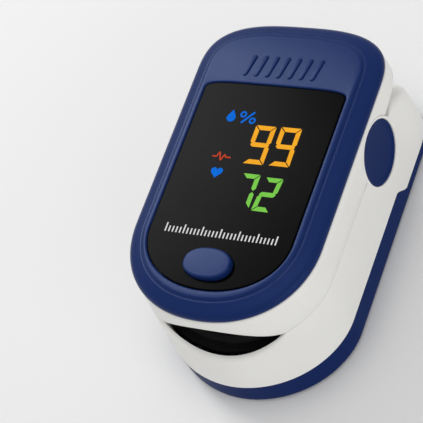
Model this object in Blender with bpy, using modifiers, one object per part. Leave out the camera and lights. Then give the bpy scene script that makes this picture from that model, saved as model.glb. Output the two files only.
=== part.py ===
"""Fingertip pulse oximeter as an assembly of separate pieces.

Metres, +Z up. The origin is under the middle of the object, on the surface it lies on.
The finger goes in from -Y, the end that is pressed is at +Y, and the display faces +Z.
"""

import math

import bmesh
import bpy
from mathutils import Matrix, Vector

MM = 0.001

# Driving dimensions of the outer form
BODY_LENGTH = 61.8 * MM
BASE_HALF_WIDTH = 18.25 * MM
BEZEL_HALF_WIDTH = 18.0 * MM
PLATEAU_Z = 25.4 * MM
BEZEL_EDGE_Z = 22.76 * MM
STRIPE_EDGE_Z = 5.14 * MM
FRONT_Y = -BODY_LENGTH / 2
REAR_Y = BODY_LENGTH / 2
REAR_ROUND = 11.1 * MM
OUTLINE_STEPS = 20

# Walls and gaps
GAP = 0.3 * MM
WALL = 1.4 * MM
FLOOR = 1.0 * MM
FRAME_INSET = 1.8 * MM

# Hinge
HINGE_Y = 11.73 * MM
HINGE_Z = 15.6 * MM
PIN_RADIUS = 1.0 * MM
PIN_HALF_LENGTH = 16.5 * MM
PIN_HOLE_RADIUS = 1.08 * MM
LUG_RADIUS = 2.2 * MM
UPPER_LUG_X = (13.9 * MM, 14.9 * MM)
LOWER_LUG_X = (15.2 * MM, 16.2 * MM)
CAP_OPENING_RADIUS = 5.8 * MM
CAP_RADIUS = 5.5 * MM
CAP_X = (16.95 * MM, 17.9 * MM)
EAR_RADIUS = 6.35 * MM

# Where the two jaws meet
PARTING_Z = 16.2 * MM
HEEL_Z = 18.2 * MM
HEEL_FLOOR_Z = 19.2 * MM
RIM_FRONT_Z = 15.0 * MM
DECK_UNDERSIDE_Z = 13.2 * MM
DECK_START_Y = 17.4 * MM
# Behind the bulkhead the lower jaw's top and the ceiling under it fall away, as (y, z)
HEEL_SLOPE = [(23.6 * MM, 14.7 * MM), (40.0 * MM, -1.26 * MM)]
CEILING_SLOPE = [(23.4 * MM, DECK_UNDERSIDE_Z), (40.0 * MM, -2.95 * MM)]

# Finger mouth
MOUTH_HALF_WIDTH = 13.0 * MM
MOUTH_FLOOR_Z = 12.3 * MM
MOUTH_TOP_Z = 20.7 * MM
MOUTH_BACK_Y = -20.0 * MM

# Finger pads
PAD_HALF_WIDTH = 12.6 * MM
GROOVE_HALF_WIDTH = 9.0 * MM
PAD_REAR_Y = 7.0 * MM
LOWER_PAD_BASE_Z = 13.0 * MM
LOWER_GROOVE_Z = 13.7 * MM
LOWER_GROOVE_RISE = 1.8 * MM
UPPER_PAD_BASE_Z = 19.9 * MM
UPPER_GROOVE_Z = 19.0 * MM
UPPER_GROOVE_RISE = 1.2 * MM
SENSOR_Y = -10.0 * MM

# Inner frames
LOWER_FRAME_Z = (12.05 * MM, 12.7 * MM)
UPPER_FRAME_Z = (20.2 * MM, 20.8 * MM)
BULKHEAD_Y = (22.25 * MM, 23.25 * MM)
BULKHEAD_FOOT_Z = 3.0 * MM
CABLE_Y = 15.7 * MM
CABLE_HALF_WIDTH = 2.0 * MM
CABLE_SLOT_HALF_WIDTH = 2.6 * MM
CABLE_SLOT_HALF_LENGTH = 0.9 * MM

# Cells and their contacts
CELL_RADIUS = 5.25 * MM
CELL_LENGTH = 44.5 * MM
CELL_NUB_RADIUS = 2.75 * MM
CELL_NUB_LENGTH = 0.8 * MM
CELL_X = 5.45 * MM
CELL_Z = FLOOR + GAP + CELL_RADIUS
FRONT_CELL_NOSE_Y = -25.65 * MM
REAR_CELL_NOSE_Y = 21.3 * MM
CONTACT_THICKNESS = 0.3 * MM
CONTACT_Z = (3.4 * MM, 9.4 * MM)

# Circuit board and what is on it
BOARD_Z = (21.1 * MM, 21.7 * MM)
BOARD_INSET = 5.9 * MM
ON_BOARD_Z = BOARD_Z[1] + GAP
DISPLAY_HALF_WIDTH = 10.0 * MM
DISPLAY_Y = (-8.6 * MM, 14.2 * MM)
DISPLAY_TOP_Z = 24.1 * MM

# Window and button
WINDOW_HALF_WIDTH = 13.74 * MM
WINDOW_REAR_Y = 17.2 * MM
WINDOW_FRONT_START_Y = -11.9 * MM
WINDOW_FRONT_REACH = 10.3 * MM
WINDOW_Z = (24.6 * MM, 25.35 * MM)
WINDOW_SEAT_Z = 24.3 * MM
COVER_CEILING_Z = 23.9 * MM
BUTTON_Y = -17.4 * MM
BUTTON_HALF = (4.75 * MM, 3.1 * MM)
BUTTON_TOP_Z = 26.4 * MM

# Screws
SCREW_HEAD_RADIUS = 1.3 * MM
SCREW_HEAD_HEIGHT = 0.7 * MM
SCREW_SHANK_RADIUS = 0.7 * MM
SCREW_SHANK_LENGTH = 3.2 * MM
SCREW_HOLE_RADIUS = 1.0 * MM
UPPER_SCREWS = [(side * 14.4 * MM, y) for side in (-1, 1) for y in (-9.0 * MM, 6.0 * MM)]
LOWER_SCREWS = [(side * 14.3 * MM, y) for side in (-1, 1) for y in (-12.0 * MM, 4.0 * MM)]

# Outer sections by height: half width, front start, front reach, front power, rear reach
BEZEL_SECTION = (BEZEL_HALF_WIDTH, -10.73 * MM, 16.15 * MM, 2.15, REAR_ROUND - 0.1 * MM)
STRIPE_SECTION = (BASE_HALF_WIDTH, -14.97 * MM, 15.68 * MM, 1.95, REAR_ROUND)
BASE_SECTION = (BASE_HALF_WIDTH, -15.05 * MM, -15.05 * MM - FRONT_Y, 1.95, REAR_ROUND)
SECTION_HEIGHTS = ((FLOOR, BASE_SECTION), (STRIPE_EDGE_Z, STRIPE_SECTION), (BEZEL_EDGE_Z, BEZEL_SECTION))
REAR_START_Y = REAR_Y - REAR_ROUND
REAR_POWER = 3.0


# Scene, materials and placing


def clear_scene():
    for obj in list(bpy.data.objects):
        bpy.data.objects.remove(obj, do_unlink=True)


def new_collection(name):
    collection = bpy.data.collections.new(name)
    bpy.context.scene.collection.children.link(collection)
    return collection


def plastic(name, colour, roughness=0.4, metallic=0.0):
    material = bpy.data.materials.new(name)
    material.use_nodes = True
    shader = material.node_tree.nodes["Principled BSDF"]
    shader.inputs["Base Color"].default_value = (*colour, 1.0)
    shader.inputs["Roughness"].default_value = roughness
    shader.inputs["Metallic"].default_value = metallic
    return material


def new_object(name, data, collection, material=None):
    obj = bpy.data.objects.new(name, data)
    collection.objects.link(obj)
    if material:
        data.materials.append(material)
    if obj.type == "MESH":
        data.shade_smooth()
        data.set_sharp_from_angle(angle=math.radians(35))
    return obj


def mesh_object(name, bm, collection, material=None):
    bmesh.ops.recalc_face_normals(bm, faces=bm.faces)
    mesh = bpy.data.meshes.new(name)
    bm.to_mesh(mesh)
    bm.free()
    return new_object(name, mesh, collection, material)


def set_origin(obj, origin, parent=None):
    """Moves a piece's origin without moving the piece, and hangs it on its parent."""
    origin = Vector(origin)
    obj.data.transform(Matrix.Translation(-origin))
    obj.location = origin
    if parent:
        obj.parent = parent
        obj.location = origin - parent.location


def axis_empty(name, location, collection):
    empty = bpy.data.objects.new(name, None)
    empty.empty_display_size = 5 * MM
    empty.location = location
    collection.objects.link(empty)
    return empty


# Outlines


def arc_points(centre, radius, start_deg, end_deg, steps):
    """Points on an arc, both ends included."""
    angles = [math.radians(start_deg + (end_deg - start_deg) * i / steps) for i in range(steps + 1)]
    return [(centre[0] + radius * math.cos(a), centre[1] + radius * math.sin(a)) for a in angles]


def rounded_end(half_width, start_y, reach, power, steps):
    """Half of a superellipse, from +X over the end to -X; a negative reach faces -Y."""
    points = []
    for i in range(steps + 1):
        angle = math.pi * i / steps
        across = math.copysign(abs(math.cos(angle)) ** (2 / power), math.cos(angle))
        points.append((half_width * across, start_y + reach * math.sin(angle) ** (2 / power)))
    return points


def section_at(z):
    """The outer section at a height, straight between the given ones."""
    low_z, low = SECTION_HEIGHTS[0]
    for high_z, high in SECTION_HEIGHTS[1:]:
        if z <= high_z:
            break
        if high_z < BEZEL_EDGE_Z:
            low_z, low = high_z, high
    share = min(max((z - low_z) / (high_z - low_z), 0.0), 1.0)
    return [a + (b - a) * share for a, b in zip(low, high)]


def body_ring(z, inset=0.0):
    """The body's outline at a height, moved in by the inset, as points in space."""
    half_width, front_start, front_reach, front_power, rear_reach = section_at(z)
    rear = rounded_end(half_width - inset, REAR_START_Y, rear_reach - inset, REAR_POWER, OUTLINE_STEPS)
    front = rounded_end(half_width - inset, front_start, inset - front_reach, front_power, OUTLINE_STEPS)
    return [(x, y, z) for x, y in rear + front[::-1]]


def window_ring(z, grow=0.0):
    """The display window's outline at a height."""
    half_width = WINDOW_HALF_WIDTH + grow
    corner = 1.8 * MM
    rear = rounded_end(half_width, WINDOW_REAR_Y - corner, corner + grow, 7.0, OUTLINE_STEPS)
    front = rounded_end(half_width, WINDOW_FRONT_START_Y, -WINDOW_FRONT_REACH - grow, 2.1, OUTLINE_STEPS)
    return [(x, y, z) for x, y in rear + front[::-1]]


# Shapes


def loft(name, rings, collection, material=None):
    """A closed solid through rings of equally many points."""
    bm = bmesh.new()
    rows = [[bm.verts.new(point) for point in ring] for ring in rings]
    count = len(rows[0])
    for low, high in zip(rows, rows[1:]):
        for i in range(count):
            j = (i + 1) % count
            bm.faces.new((low[i], low[j], high[j], high[i]))
    bm.faces.new(rows[0])
    bm.faces.new(rows[-1])
    return mesh_object(name, bm, collection, material)


def body_loft(name, levels, collection, material=None):
    return loft(name, [body_ring(z, inset) for z, inset in levels], collection, material)


def inside_until(name, low_z, high_z, end_y, cutters):
    """The room inside the walls between two heights, from the nose back to the given Y."""
    room = body_loft(name, [(low_z, WALL), (high_z, WALL)], cutters)
    beyond = ((-30 * MM, 30 * MM), (end_y, 40 * MM), (0, 40 * MM))
    boolean(room, box(f"{name}_end", *beyond, cutters))
    return room


def prism(name, outline, along, start, end, collection, material=None):
    """A flat outline pushed along X, Y or Z; its points are the other two coordinates, in order."""
    bm = bmesh.new()
    points = []
    for a, b in outline:
        point = [a, b]
        point.insert("XYZ".index(along), start)
        points.append(bm.verts.new(point))
    face = bm.faces.new(points)
    moved = bmesh.ops.extrude_face_region(bm, geom=[face], use_keep_orig=True)["geom"]
    step = [0.0, 0.0, 0.0]
    step["XYZ".index(along)] = end - start
    bmesh.ops.translate(bm, vec=step, verts=[v for v in moved if isinstance(v, bmesh.types.BMVert)])
    return mesh_object(name, bm, collection, material)


def box(name, x, y, z, collection, material=None):
    """A box between the given ends along each axis."""
    bm = bmesh.new()
    bmesh.ops.create_cube(bm, size=1.0)
    size = [b - a for a, b in (x, y, z)]
    middle = [(a + b) / 2 for a, b in (x, y, z)]
    bmesh.ops.scale(bm, vec=size, verts=bm.verts)
    bmesh.ops.translate(bm, vec=middle, verts=bm.verts)
    return mesh_object(name, bm, collection, material)


def rod(name, radius, start, end, collection, material=None, sides=20):
    """A round bar between two points."""
    start, end = Vector(start), Vector(end)
    run = end - start
    turn = Vector((0, 0, 1)).rotation_difference(run).to_matrix().to_4x4()
    bm = bmesh.new()
    bmesh.ops.create_cone(
        bm, cap_ends=True, segments=sides, radius1=radius, radius2=radius, depth=run.length,
        matrix=Matrix.Translation((start + end) / 2) @ turn,
    )
    return mesh_object(name, bm, collection, material)


def oval(name, half, centre, z, collection, material=None, sides=28):
    """An upright oval column."""
    bm = bmesh.new()
    squash = Matrix.Diagonal((half[0], half[1], 1.0, 1.0))
    place = Matrix.Translation((centre[0], centre[1], (z[0] + z[1]) / 2))
    bmesh.ops.create_cone(
        bm, cap_ends=True, segments=sides, radius1=1.0, radius2=1.0, depth=z[1] - z[0], matrix=place @ squash
    )
    return mesh_object(name, bm, collection, material)


def wire(name, points, radius, collection, material):
    """A round wire along a list of points, closed at both ends."""
    data = bpy.data.curves.new(name, "CURVE")
    data.dimensions = "3D"
    data.bevel_depth = radius
    data.bevel_resolution = 2
    data.use_fill_caps = True
    spline = data.splines.new("POLY")
    spline.points.add(len(points) - 1)
    for target, point in zip(spline.points, points):
        target.co = (*point, 1.0)
    return new_object(name, data, collection, material)


def boolean(obj, other, operation="DIFFERENCE"):
    modifier = obj.modifiers.new(other.name, "BOOLEAN")
    modifier.operation = operation
    modifier.solver = "EXACT"
    modifier.object = other
    other.hide_render = True
    other.display_type = "WIRE"


# Edges that two pieces share


def step_line(offset):
    """The battery cover's side edge from front to rear, with its S-shaped step, as (y, z)."""
    middle_y, half_run = 11.0 * MM, 1.5 * MM
    high, low = STRIPE_EDGE_Z + offset, 2.45 * MM + offset
    steps = 8
    points = [(-40 * MM, high)]
    for i in range(steps + 1):
        share = i / steps
        ease = share * share * (3 - 2 * share)
        points.append((middle_y - half_run + 2 * half_run * share, high + (low - high) * ease))
    return points + [(40 * MM, low)]


def jaw_line(radius, parting_z, heel_z, rear_points):
    """The line between the jaws from front to rear: parting, round the ear, then the rear gap."""
    centre = (HINGE_Y, HINGE_Z)
    start = 180 - math.degrees(math.asin((parting_z - HINGE_Z) / radius))
    end = math.degrees(math.asin((heel_z - HINGE_Z) / radius))
    return [(-40 * MM, parting_z)] + arc_points(centre, radius, start, end, 20) + rear_points


def mouth_curve(edge_z, middle_z):
    """A lip of the finger mouth across the width, as (x, z)."""
    steps = 14
    shares = [-1 + 2 * i / steps for i in range(steps + 1)]
    return [(MOUTH_HALF_WIDTH * s, middle_z + (edge_z - middle_z) * s * s) for s in shares]


def groove_curve(middle_z, rise):
    """The finger groove's section across a pad, as (x, z)."""
    steps = 10
    shares = [-1 + 2 * i / steps for i in range(steps + 1)]
    points = [(GROOVE_HALF_WIDTH * s, middle_z + rise * s * s) for s in shares]
    edge = middle_z + rise
    return [(-PAD_HALF_WIDTH, edge)] + points + [(PAD_HALF_WIDTH, edge)]


def lug(name, x, root_z, collection):
    """A hinge lug with a round end about the hinge axis, from its root height."""
    centre = (HINGE_Y, HINGE_Z)
    if root_z > HINGE_Z:
        end = arc_points(centre, LUG_RADIUS, 180, 360, 10)
    else:
        end = arc_points(centre, LUG_RADIUS, 0, 180, 10)
    outline = end + [(end[-1][0], root_z), (end[0][0], root_z)]
    return prism(name, outline, "X", x[0], x[1], collection)


def both_sides(x):
    """The same stretch of X on the right and on the left."""
    return ((x[0], x[1]), (-x[1], -x[0]))


# Pieces of the upper jaw


def make_top_cover(parts, cutters, material):
    levels = [
        (BEZEL_EDGE_Z, 0.0),
        (BEZEL_EDGE_Z + 0.8 * MM, 0.0),
        (BEZEL_EDGE_Z + 1.5 * MM, 0.35 * MM),
        (BEZEL_EDGE_Z + 2.0 * MM, 1.0 * MM),
        (BEZEL_EDGE_Z + 2.25 * MM, 1.9 * MM),
        (BEZEL_EDGE_Z + 2.3 * MM, 2.3 * MM),
        (PLATEAU_Z, 2.6 * MM),
    ]
    cover = loft("top_cover", [cover_ring(z, inset) for z, inset in levels], parts, material)
    inner = [(BEZEL_EDGE_Z - GAP, 1.3 * MM), (COVER_CEILING_Z, 1.3 * MM)]
    boolean(cover, loft("cover_inside", [cover_ring(z, inset) for z, inset in inner], cutters))
    seat = [window_ring(z, GAP) for z in (WINDOW_SEAT_Z, PLATEAU_Z + MM)]
    boolean(cover, loft("window_seat", seat, cutters))
    opening = [window_ring(z, -MM) for z in (COVER_CEILING_Z - MM, WINDOW_SEAT_Z + MM)]
    boolean(cover, loft("window_opening", opening, cutters))
    for i, (x, y) in enumerate(UPPER_SCREWS):
        foot_z = UPPER_FRAME_Z[1] + GAP
        boss = rod(f"cover_boss_{i}", 1.8 * MM, (x, y, foot_z), (x, y, COVER_CEILING_Z + 0.2 * MM), cutters)
        boolean(cover, boss, "UNION")
        hole_top_z = COVER_CEILING_Z - 0.2 * MM
        hole = rod(f"cover_hole_{i}", SCREW_HOLE_RADIUS, (x, y, foot_z - MM), (x, y, hole_top_z), cutters)
        boolean(cover, hole)
    for i in range(5):
        boolean(cover, make_grip_bar(i, cutters), "UNION")
    return cover


def cover_ring(z, inset):
    """The bezel's outline at its widest, moved in by the inset, at any height of the cover."""
    return [(x, y, z) for x, y, _ in body_ring(BEZEL_EDGE_Z, inset)]


def make_grip_bar(index, cutters):
    """One of the slanted raised bars that mark where to press."""
    middle_x = (index - 2) * 3.1 * MM
    y = (18.9 * MM, 23.2 * MM)
    lean = 0.5 * MM
    half = 0.6 * MM
    outline = [
        (middle_x - lean - half, y[0]),
        (middle_x - lean + half, y[0]),
        (middle_x + lean + half, y[1]),
        (middle_x + lean - half, y[1]),
    ]
    return prism(f"grip_bar_{index}", outline, "Z", PLATEAU_Z - 0.3 * MM, PLATEAU_Z + 0.25 * MM, cutters)


def make_window(parts, cutters, material):
    window = loft("display_window", [window_ring(z) for z in WINDOW_Z], parts, material)
    hole_half = [half + GAP for half in BUTTON_HALF]
    hole_z = (WINDOW_Z[0] - MM, WINDOW_Z[1] + MM)
    boolean(window, oval("button_hole", hole_half, (0, BUTTON_Y), hole_z, cutters))
    return window


def make_upper_housing(parts, cutters, material):
    top_z = BEZEL_EDGE_Z - GAP
    housing = body_loft("upper_housing", [(PARTING_Z, 0.0), (top_z, 0.0)], parts, material)
    boolean(housing, inside_until("upper_front_inside", PARTING_Z - MM, top_z + MM, DECK_START_Y, cutters))
    boolean(housing, body_loft("upper_inside", [(HEEL_FLOOR_Z, WALL), (top_z + MM, WALL)], cutters))
    line = jaw_line(EAR_RADIUS + GAP, PARTING_Z + GAP / 2, HEEL_Z, [(40 * MM, HEEL_Z)])
    below = line + [(40 * MM, 0), (-40 * MM, 0)]
    boolean(housing, prism("below_upper_jaw", below, "X", -30 * MM, 30 * MM, cutters))
    arch = mouth_curve(PARTING_Z, MOUTH_TOP_Z) + [(MOUTH_HALF_WIDTH, 0), (-MOUTH_HALF_WIDTH, 0)]
    boolean(housing, prism("mouth_arch", arch, "Y", -40 * MM, MOUTH_BACK_Y, cutters))
    return housing


def make_upper_frame(parts, cutters, material):
    frame = body_loft("upper_frame", [(z, FRAME_INSET) for z in UPPER_FRAME_Z], parts, material)
    for i, x in enumerate(both_sides(UPPER_LUG_X)):
        boolean(frame, lug(f"upper_lug_{i}", x, UPPER_FRAME_Z[0] + 0.3 * MM, cutters), "UNION")
    boolean(frame, hinge_bore("upper_pin_hole", PIN_HOLE_RADIUS, cutters))
    through = (UPPER_FRAME_Z[0] - MM, UPPER_FRAME_Z[1] + MM)
    half = 1.7 * MM
    emitter = ((-half, half), (SENSOR_Y - half, SENSOR_Y + half), through)
    boolean(frame, box("emitter_opening", *emitter, cutters))
    boolean(frame, cable_slot("upper_cable_slot", through, cutters))
    for i, (x, y) in enumerate(UPPER_SCREWS):
        boolean(frame, rod(f"upper_hole_{i}", SCREW_HOLE_RADIUS, (x, y, through[0]), (x, y, through[1]), cutters))
    return frame


def hinge_bore(name, radius, cutters):
    reach = 20 * MM
    return rod(name, radius, (-reach, HINGE_Y, HINGE_Z), (reach, HINGE_Y, HINGE_Z), cutters, sides=40)


def cable_slot(name, z, cutters):
    x = (-CABLE_SLOT_HALF_WIDTH, CABLE_SLOT_HALF_WIDTH)
    y = (CABLE_Y - CABLE_SLOT_HALF_LENGTH, CABLE_Y + CABLE_SLOT_HALF_LENGTH)
    return box(name, x, y, z, cutters)


def make_pad(name, groove, base_z, hole_radius, parts, cutters, material):
    """A rubber pad with a finger groove, rounded to the nose of the body in plan."""
    outline = groove + [(PAD_HALF_WIDTH, base_z), (-PAD_HALF_WIDTH, base_z)]
    pad = prism(name, outline, "Y", -30 * MM, PAD_REAR_Y, parts, material)
    low_z = min(base_z, LOWER_GROOVE_Z)
    nose = body_loft(f"{name}_nose", [(low_z - MM, 3.2 * MM), (22 * MM, 3.2 * MM)], cutters)
    boolean(pad, nose, "INTERSECT")
    hole = rod(f"{name}_hole", hole_radius, (0, SENSOR_Y, 10 * MM), (0, SENSOR_Y, 22 * MM), cutters)
    boolean(pad, hole)
    return pad


def make_board(parts, cutters, material):
    board = body_loft("main_board", [(z, BOARD_INSET) for z in BOARD_Z], parts, material)
    boolean(board, cable_slot("board_slot", (BOARD_Z[0] - MM, BOARD_Z[1] + MM), cutters))
    return board


def square_part(name, centre, half, z, collection, material):
    x = (centre[0] - half[0], centre[0] + half[0])
    y = (centre[1] - half[1], centre[1] + half[1])
    return box(name, x, y, z, collection, material)


def make_switch(parts, cutters, material):
    top_z = ON_BOARD_Z + 1.2 * MM
    half = (2.2 * MM, 2.2 * MM)
    switch = square_part("tact_switch", (0, BUTTON_Y), half, (ON_BOARD_Z, top_z), parts, material)
    well = rod("plunger_well", 1.2 * MM, (0, BUTTON_Y, ON_BOARD_Z + 0.25 * MM), (0, BUTTON_Y, top_z + MM), cutters)
    boolean(switch, well)
    return switch


def make_button(parts, material):
    """The oval cap with the flange that keeps it under the window."""
    x, y = BUTTON_HALF
    flange = (x + 0.45 * MM, y + 0.2 * MM)
    levels = [
        (23.75 * MM, flange),
        (24.15 * MM, flange),
        (24.15 * MM, (x, y)),
        (BUTTON_TOP_Z - 0.4 * MM, (x, y)),
        (BUTTON_TOP_Z - 0.12 * MM, (x - 0.12 * MM, y - 0.12 * MM)),
        (BUTTON_TOP_Z, (x - 0.45 * MM, y - 0.45 * MM)),
    ]
    steps = 28
    rings = []
    for z, half in levels:
        angles = [2 * math.pi * i / steps for i in range(steps)]
        rings.append([(half[0] * math.cos(a), BUTTON_Y + half[1] * math.sin(a), z) for a in angles])
    return loft("power_button", rings, parts, material)


# Pieces of the lower jaw


def make_lower_housing(parts, cutters, material):
    levels = [(2.0 * MM, 0.0), (STRIPE_EDGE_Z, 0.0), (22.4 * MM, 0.0)]
    housing = body_loft("lower_housing", levels, parts, material)
    bay = body_loft("battery_bay", [(-MM, WALL), (STRIPE_EDGE_Z, WALL), (DECK_UNDERSIDE_Z, WALL)], cutters)
    over_bay = CEILING_SLOPE + [(40 * MM, 40 * MM), (CEILING_SLOPE[0][0], 40 * MM)]
    boolean(bay, prism("over_bay", over_bay, "X", -30 * MM, 30 * MM, cutters))
    boolean(housing, bay)
    boolean(housing, inside_until("channel_inside", DECK_UNDERSIDE_Z - MM, 24 * MM, DECK_START_Y, cutters))
    boolean(housing, inside_until("ear_gap", RIM_FRONT_Z, 24 * MM, DECK_START_Y + 1.2 * MM, cutters))
    line = jaw_line(EAR_RADIUS, PARTING_Z - GAP / 2, RIM_FRONT_Z, HEEL_SLOPE)
    above = line + [(40 * MM, 40 * MM), (-40 * MM, 40 * MM)]
    boolean(housing, prism("above_lower_jaw", above, "X", -30 * MM, 30 * MM, cutters))
    below = step_line(GAP) + [(40 * MM, -5 * MM), (-40 * MM, -5 * MM)]
    boolean(housing, prism("below_housing", below, "X", -30 * MM, 30 * MM, cutters))
    lip = mouth_curve(PARTING_Z, MOUTH_FLOOR_Z) + [(MOUTH_HALF_WIDTH, 40 * MM), (-MOUTH_HALF_WIDTH, 40 * MM)]
    boolean(housing, prism("mouth_lip", lip, "Y", -40 * MM, MOUTH_BACK_Y, cutters))
    boolean(housing, hinge_bore("cap_opening", CAP_OPENING_RADIUS, cutters))
    boss_z = (STRIPE_EDGE_Z + GAP, LOWER_FRAME_Z[0] - GAP)
    for i, (x, y) in enumerate(LOWER_SCREWS):
        half = 1.7 * MM
        wall_x = math.copysign(17.3 * MM, x)
        inner_x = x - math.copysign(1.5 * MM, x)
        stretch = (min(inner_x, wall_x), max(inner_x, wall_x))
        boolean(housing, box(f"housing_boss_{i}", stretch, (y - half, y + half), boss_z, cutters), "UNION")
        hole = rod(f"housing_hole_{i}", SCREW_HOLE_RADIUS, (x, y, boss_z[0] + MM), (x, y, boss_z[1] + MM), cutters)
        boolean(housing, hole)
    return housing


def make_lower_frame(parts, cutters, material):
    frame = body_loft("lower_frame", [(z, FRAME_INSET) for z in LOWER_FRAME_Z], parts, material)
    behind = ((-30 * MM, 30 * MM), (BULKHEAD_Y[1], 40 * MM), (0, 40 * MM))
    boolean(frame, box("lower_frame_end", *behind, cutters))
    width = (-15.5 * MM, 15.5 * MM)
    bulkhead = box("bulkhead", width, BULKHEAD_Y, (BULKHEAD_FOOT_Z, LOWER_FRAME_Z[0] + 0.3 * MM), cutters)
    boolean(frame, bulkhead, "UNION")
    for i, x in enumerate(both_sides(LOWER_LUG_X)):
        boolean(frame, lug(f"lower_lug_{i}", x, LOWER_FRAME_Z[1] - 0.3 * MM, cutters), "UNION")
    boolean(frame, hinge_bore("lower_pin_hole", PIN_HOLE_RADIUS, cutters))
    through = (LOWER_FRAME_Z[0] - MM, LOWER_FRAME_Z[1] + 0.5 * MM)
    half = 1.9 * MM
    detector = ((-half, half), (SENSOR_Y - half, SENSOR_Y + half), through)
    boolean(frame, box("detector_opening", *detector, cutters))
    boolean(frame, cable_slot("lower_cable_slot", through, cutters))
    for i, (x, y) in enumerate(LOWER_SCREWS):
        boolean(frame, rod(f"lower_hole_{i}", SCREW_HOLE_RADIUS, (x, y, through[0]), (x, y, through[1]), cutters))
    return frame


def make_battery_cover(parts, cutters, material):
    outer = [(0.0, 0.8 * MM), (0.25 * MM, 0.25 * MM), (0.8 * MM, 0.0), (STRIPE_EDGE_Z, 0.0)]
    cover = body_loft("battery_cover", outer, parts, material)
    inner = [(FLOOR, 1.2 * MM), (STRIPE_EDGE_Z + MM, 1.2 * MM)]
    boolean(cover, body_loft("battery_cover_inside", inner, cutters))
    above = step_line(0.0)[1:] + [(40 * MM, 10 * MM), (step_line(0.0)[1][0], 10 * MM)]
    boolean(cover, prism("above_cover", above, "X", -30 * MM, 30 * MM, cutters))
    return cover


def make_cell(name, x, nose_y, facing, parts, material):
    """A cell turned about its own axis; facing is +1 where its plus end points to +Y."""
    profile = [
        (0.0, 0.0),
        (CELL_NUB_RADIUS, 0.0),
        (CELL_NUB_RADIUS, -CELL_NUB_LENGTH),
        (CELL_RADIUS - 0.4 * MM, -CELL_NUB_LENGTH),
        (CELL_RADIUS, -CELL_NUB_LENGTH - 0.4 * MM),
        (CELL_RADIUS, 0.4 * MM - CELL_LENGTH),
        (CELL_RADIUS - 0.4 * MM, -CELL_LENGTH),
        (0.0, -CELL_LENGTH),
    ]
    bm = bmesh.new()
    verts = [bm.verts.new((radius, 0.0, z)) for radius, z in profile]
    for a, b in zip(verts, verts[1:]):
        bm.edges.new((a, b))
    mesh = bpy.data.meshes.new(name)
    bm.to_mesh(mesh)
    bm.free()
    cell = new_object(name, mesh, parts, material)
    screw = cell.modifiers.new("turn", "SCREW")
    screw.steps = screw.render_steps = 24
    screw.use_merge_vertices = True
    screw.merge_threshold = 0.00001
    cell.rotation_euler = (-facing * math.pi / 2, 0, 0)
    cell.location = (x, nose_y, CELL_Z)
    return cell


def contact_plate(name, x, y, parts, material):
    return box(name, x, (y, y + CONTACT_THICKNESS), CONTACT_Z, parts, material)


def contact_spring(name, x, wide_y, narrow_y, parts, material):
    """A conical coil between a contact plate and a cell's flat end."""
    turns, steps = 2.5, 10
    count = int(turns * steps)
    points = []
    for i in range(count + 1):
        share = i / count
        angle = 2 * math.pi * turns * share
        radius = (3.2 - 1.6 * share) * MM
        y = wide_y + (narrow_y - wide_y) * share
        points.append((x + radius * math.cos(angle), y, CELL_Z + radius * math.sin(angle)))
    return wire(name, points, 0.25 * MM, parts, material)


def torsion_spring(name, side, parts, material):
    """A coil about the hinge pin whose legs press the rear ends of the jaws apart."""
    turns, steps = 5, 10
    radius = 1.75 * MM
    start_x, end_x = 9.6 * MM, 13.2 * MM
    first, last = math.radians(100), math.radians(-100)
    sweep = last - first - 2 * math.pi * turns
    coil = []
    for i in range(turns * steps + 1):
        share = i / (turns * steps)
        angle = first + sweep * share
        x = side * (start_x + (end_x - start_x) * share)
        coil.append((x, HINGE_Y + radius * math.cos(angle), HINGE_Z + radius * math.sin(angle)))
    upper_leg = (side * start_x, HINGE_Y + 9.5 * MM, HEEL_Z - 0.7 * MM)
    lower_bend = (side * end_x, HINGE_Y + 5.3 * MM, RIM_FRONT_Z + 0.5 * MM)
    lower_leg = (side * end_x, HINGE_Y + 9.5 * MM, RIM_FRONT_Z + 0.4 * MM)
    return wire(name, [upper_leg] + coil + [lower_bend, lower_leg], 0.3 * MM, parts, material)


def make_cable(parts, material):
    """The flat flexible cable from the board, behind the hinge pin, to the detector."""
    route = [(16.7, 22.6), (16.1, 22.5), (CABLE_Y / MM, 22.0), (CABLE_Y / MM, 17.0)]
    route += [(CABLE_Y / MM, 12.4), (15.4, 11.7), (14.8, 11.4), (14.0, 11.3), (-5.2, 11.3)]
    bm = bmesh.new()
    rows = [[bm.verts.new((x, y * MM, z * MM)) for x in (-CABLE_HALF_WIDTH, CABLE_HALF_WIDTH)] for y, z in route]
    for a, b in zip(rows, rows[1:]):
        bm.faces.new((a[0], a[1], b[1], b[0]))
    cable = mesh_object("flex_cable", bm, parts, material)
    solidify = cable.modifiers.new("thickness", "SOLIDIFY")
    solidify.thickness = 0.2 * MM
    solidify.offset = 0.0
    return cable


def screw_mesh(material):
    """A pan-head self-tapping screw, pointing down from the underside of its head."""
    profile = [
        (0.0, SCREW_HEAD_HEIGHT),
        (SCREW_HEAD_RADIUS * 0.8, SCREW_HEAD_HEIGHT),
        (SCREW_HEAD_RADIUS, 0.0),
        (SCREW_SHANK_RADIUS, 0.0),
        (SCREW_SHANK_RADIUS, -SCREW_SHANK_LENGTH),
        (0.0, -SCREW_SHANK_LENGTH),
    ]
    bm = bmesh.new()
    verts = [bm.verts.new((radius, 0.0, z)) for radius, z in profile]
    edges = [bm.edges.new(pair) for pair in zip(verts, verts[1:])]
    bmesh.ops.spin(
        bm, geom=verts + edges, cent=(0, 0, 0), axis=(0, 0, 1), angle=2 * math.pi, steps=14, use_merge=True
    )
    bmesh.ops.remove_doubles(bm, verts=bm.verts, dist=0.01 * MM)
    bmesh.ops.recalc_face_normals(bm, faces=bm.faces)
    mesh = bpy.data.meshes.new("screw")
    bm.to_mesh(mesh)
    bm.free()
    mesh.materials.append(material)
    return mesh


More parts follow.
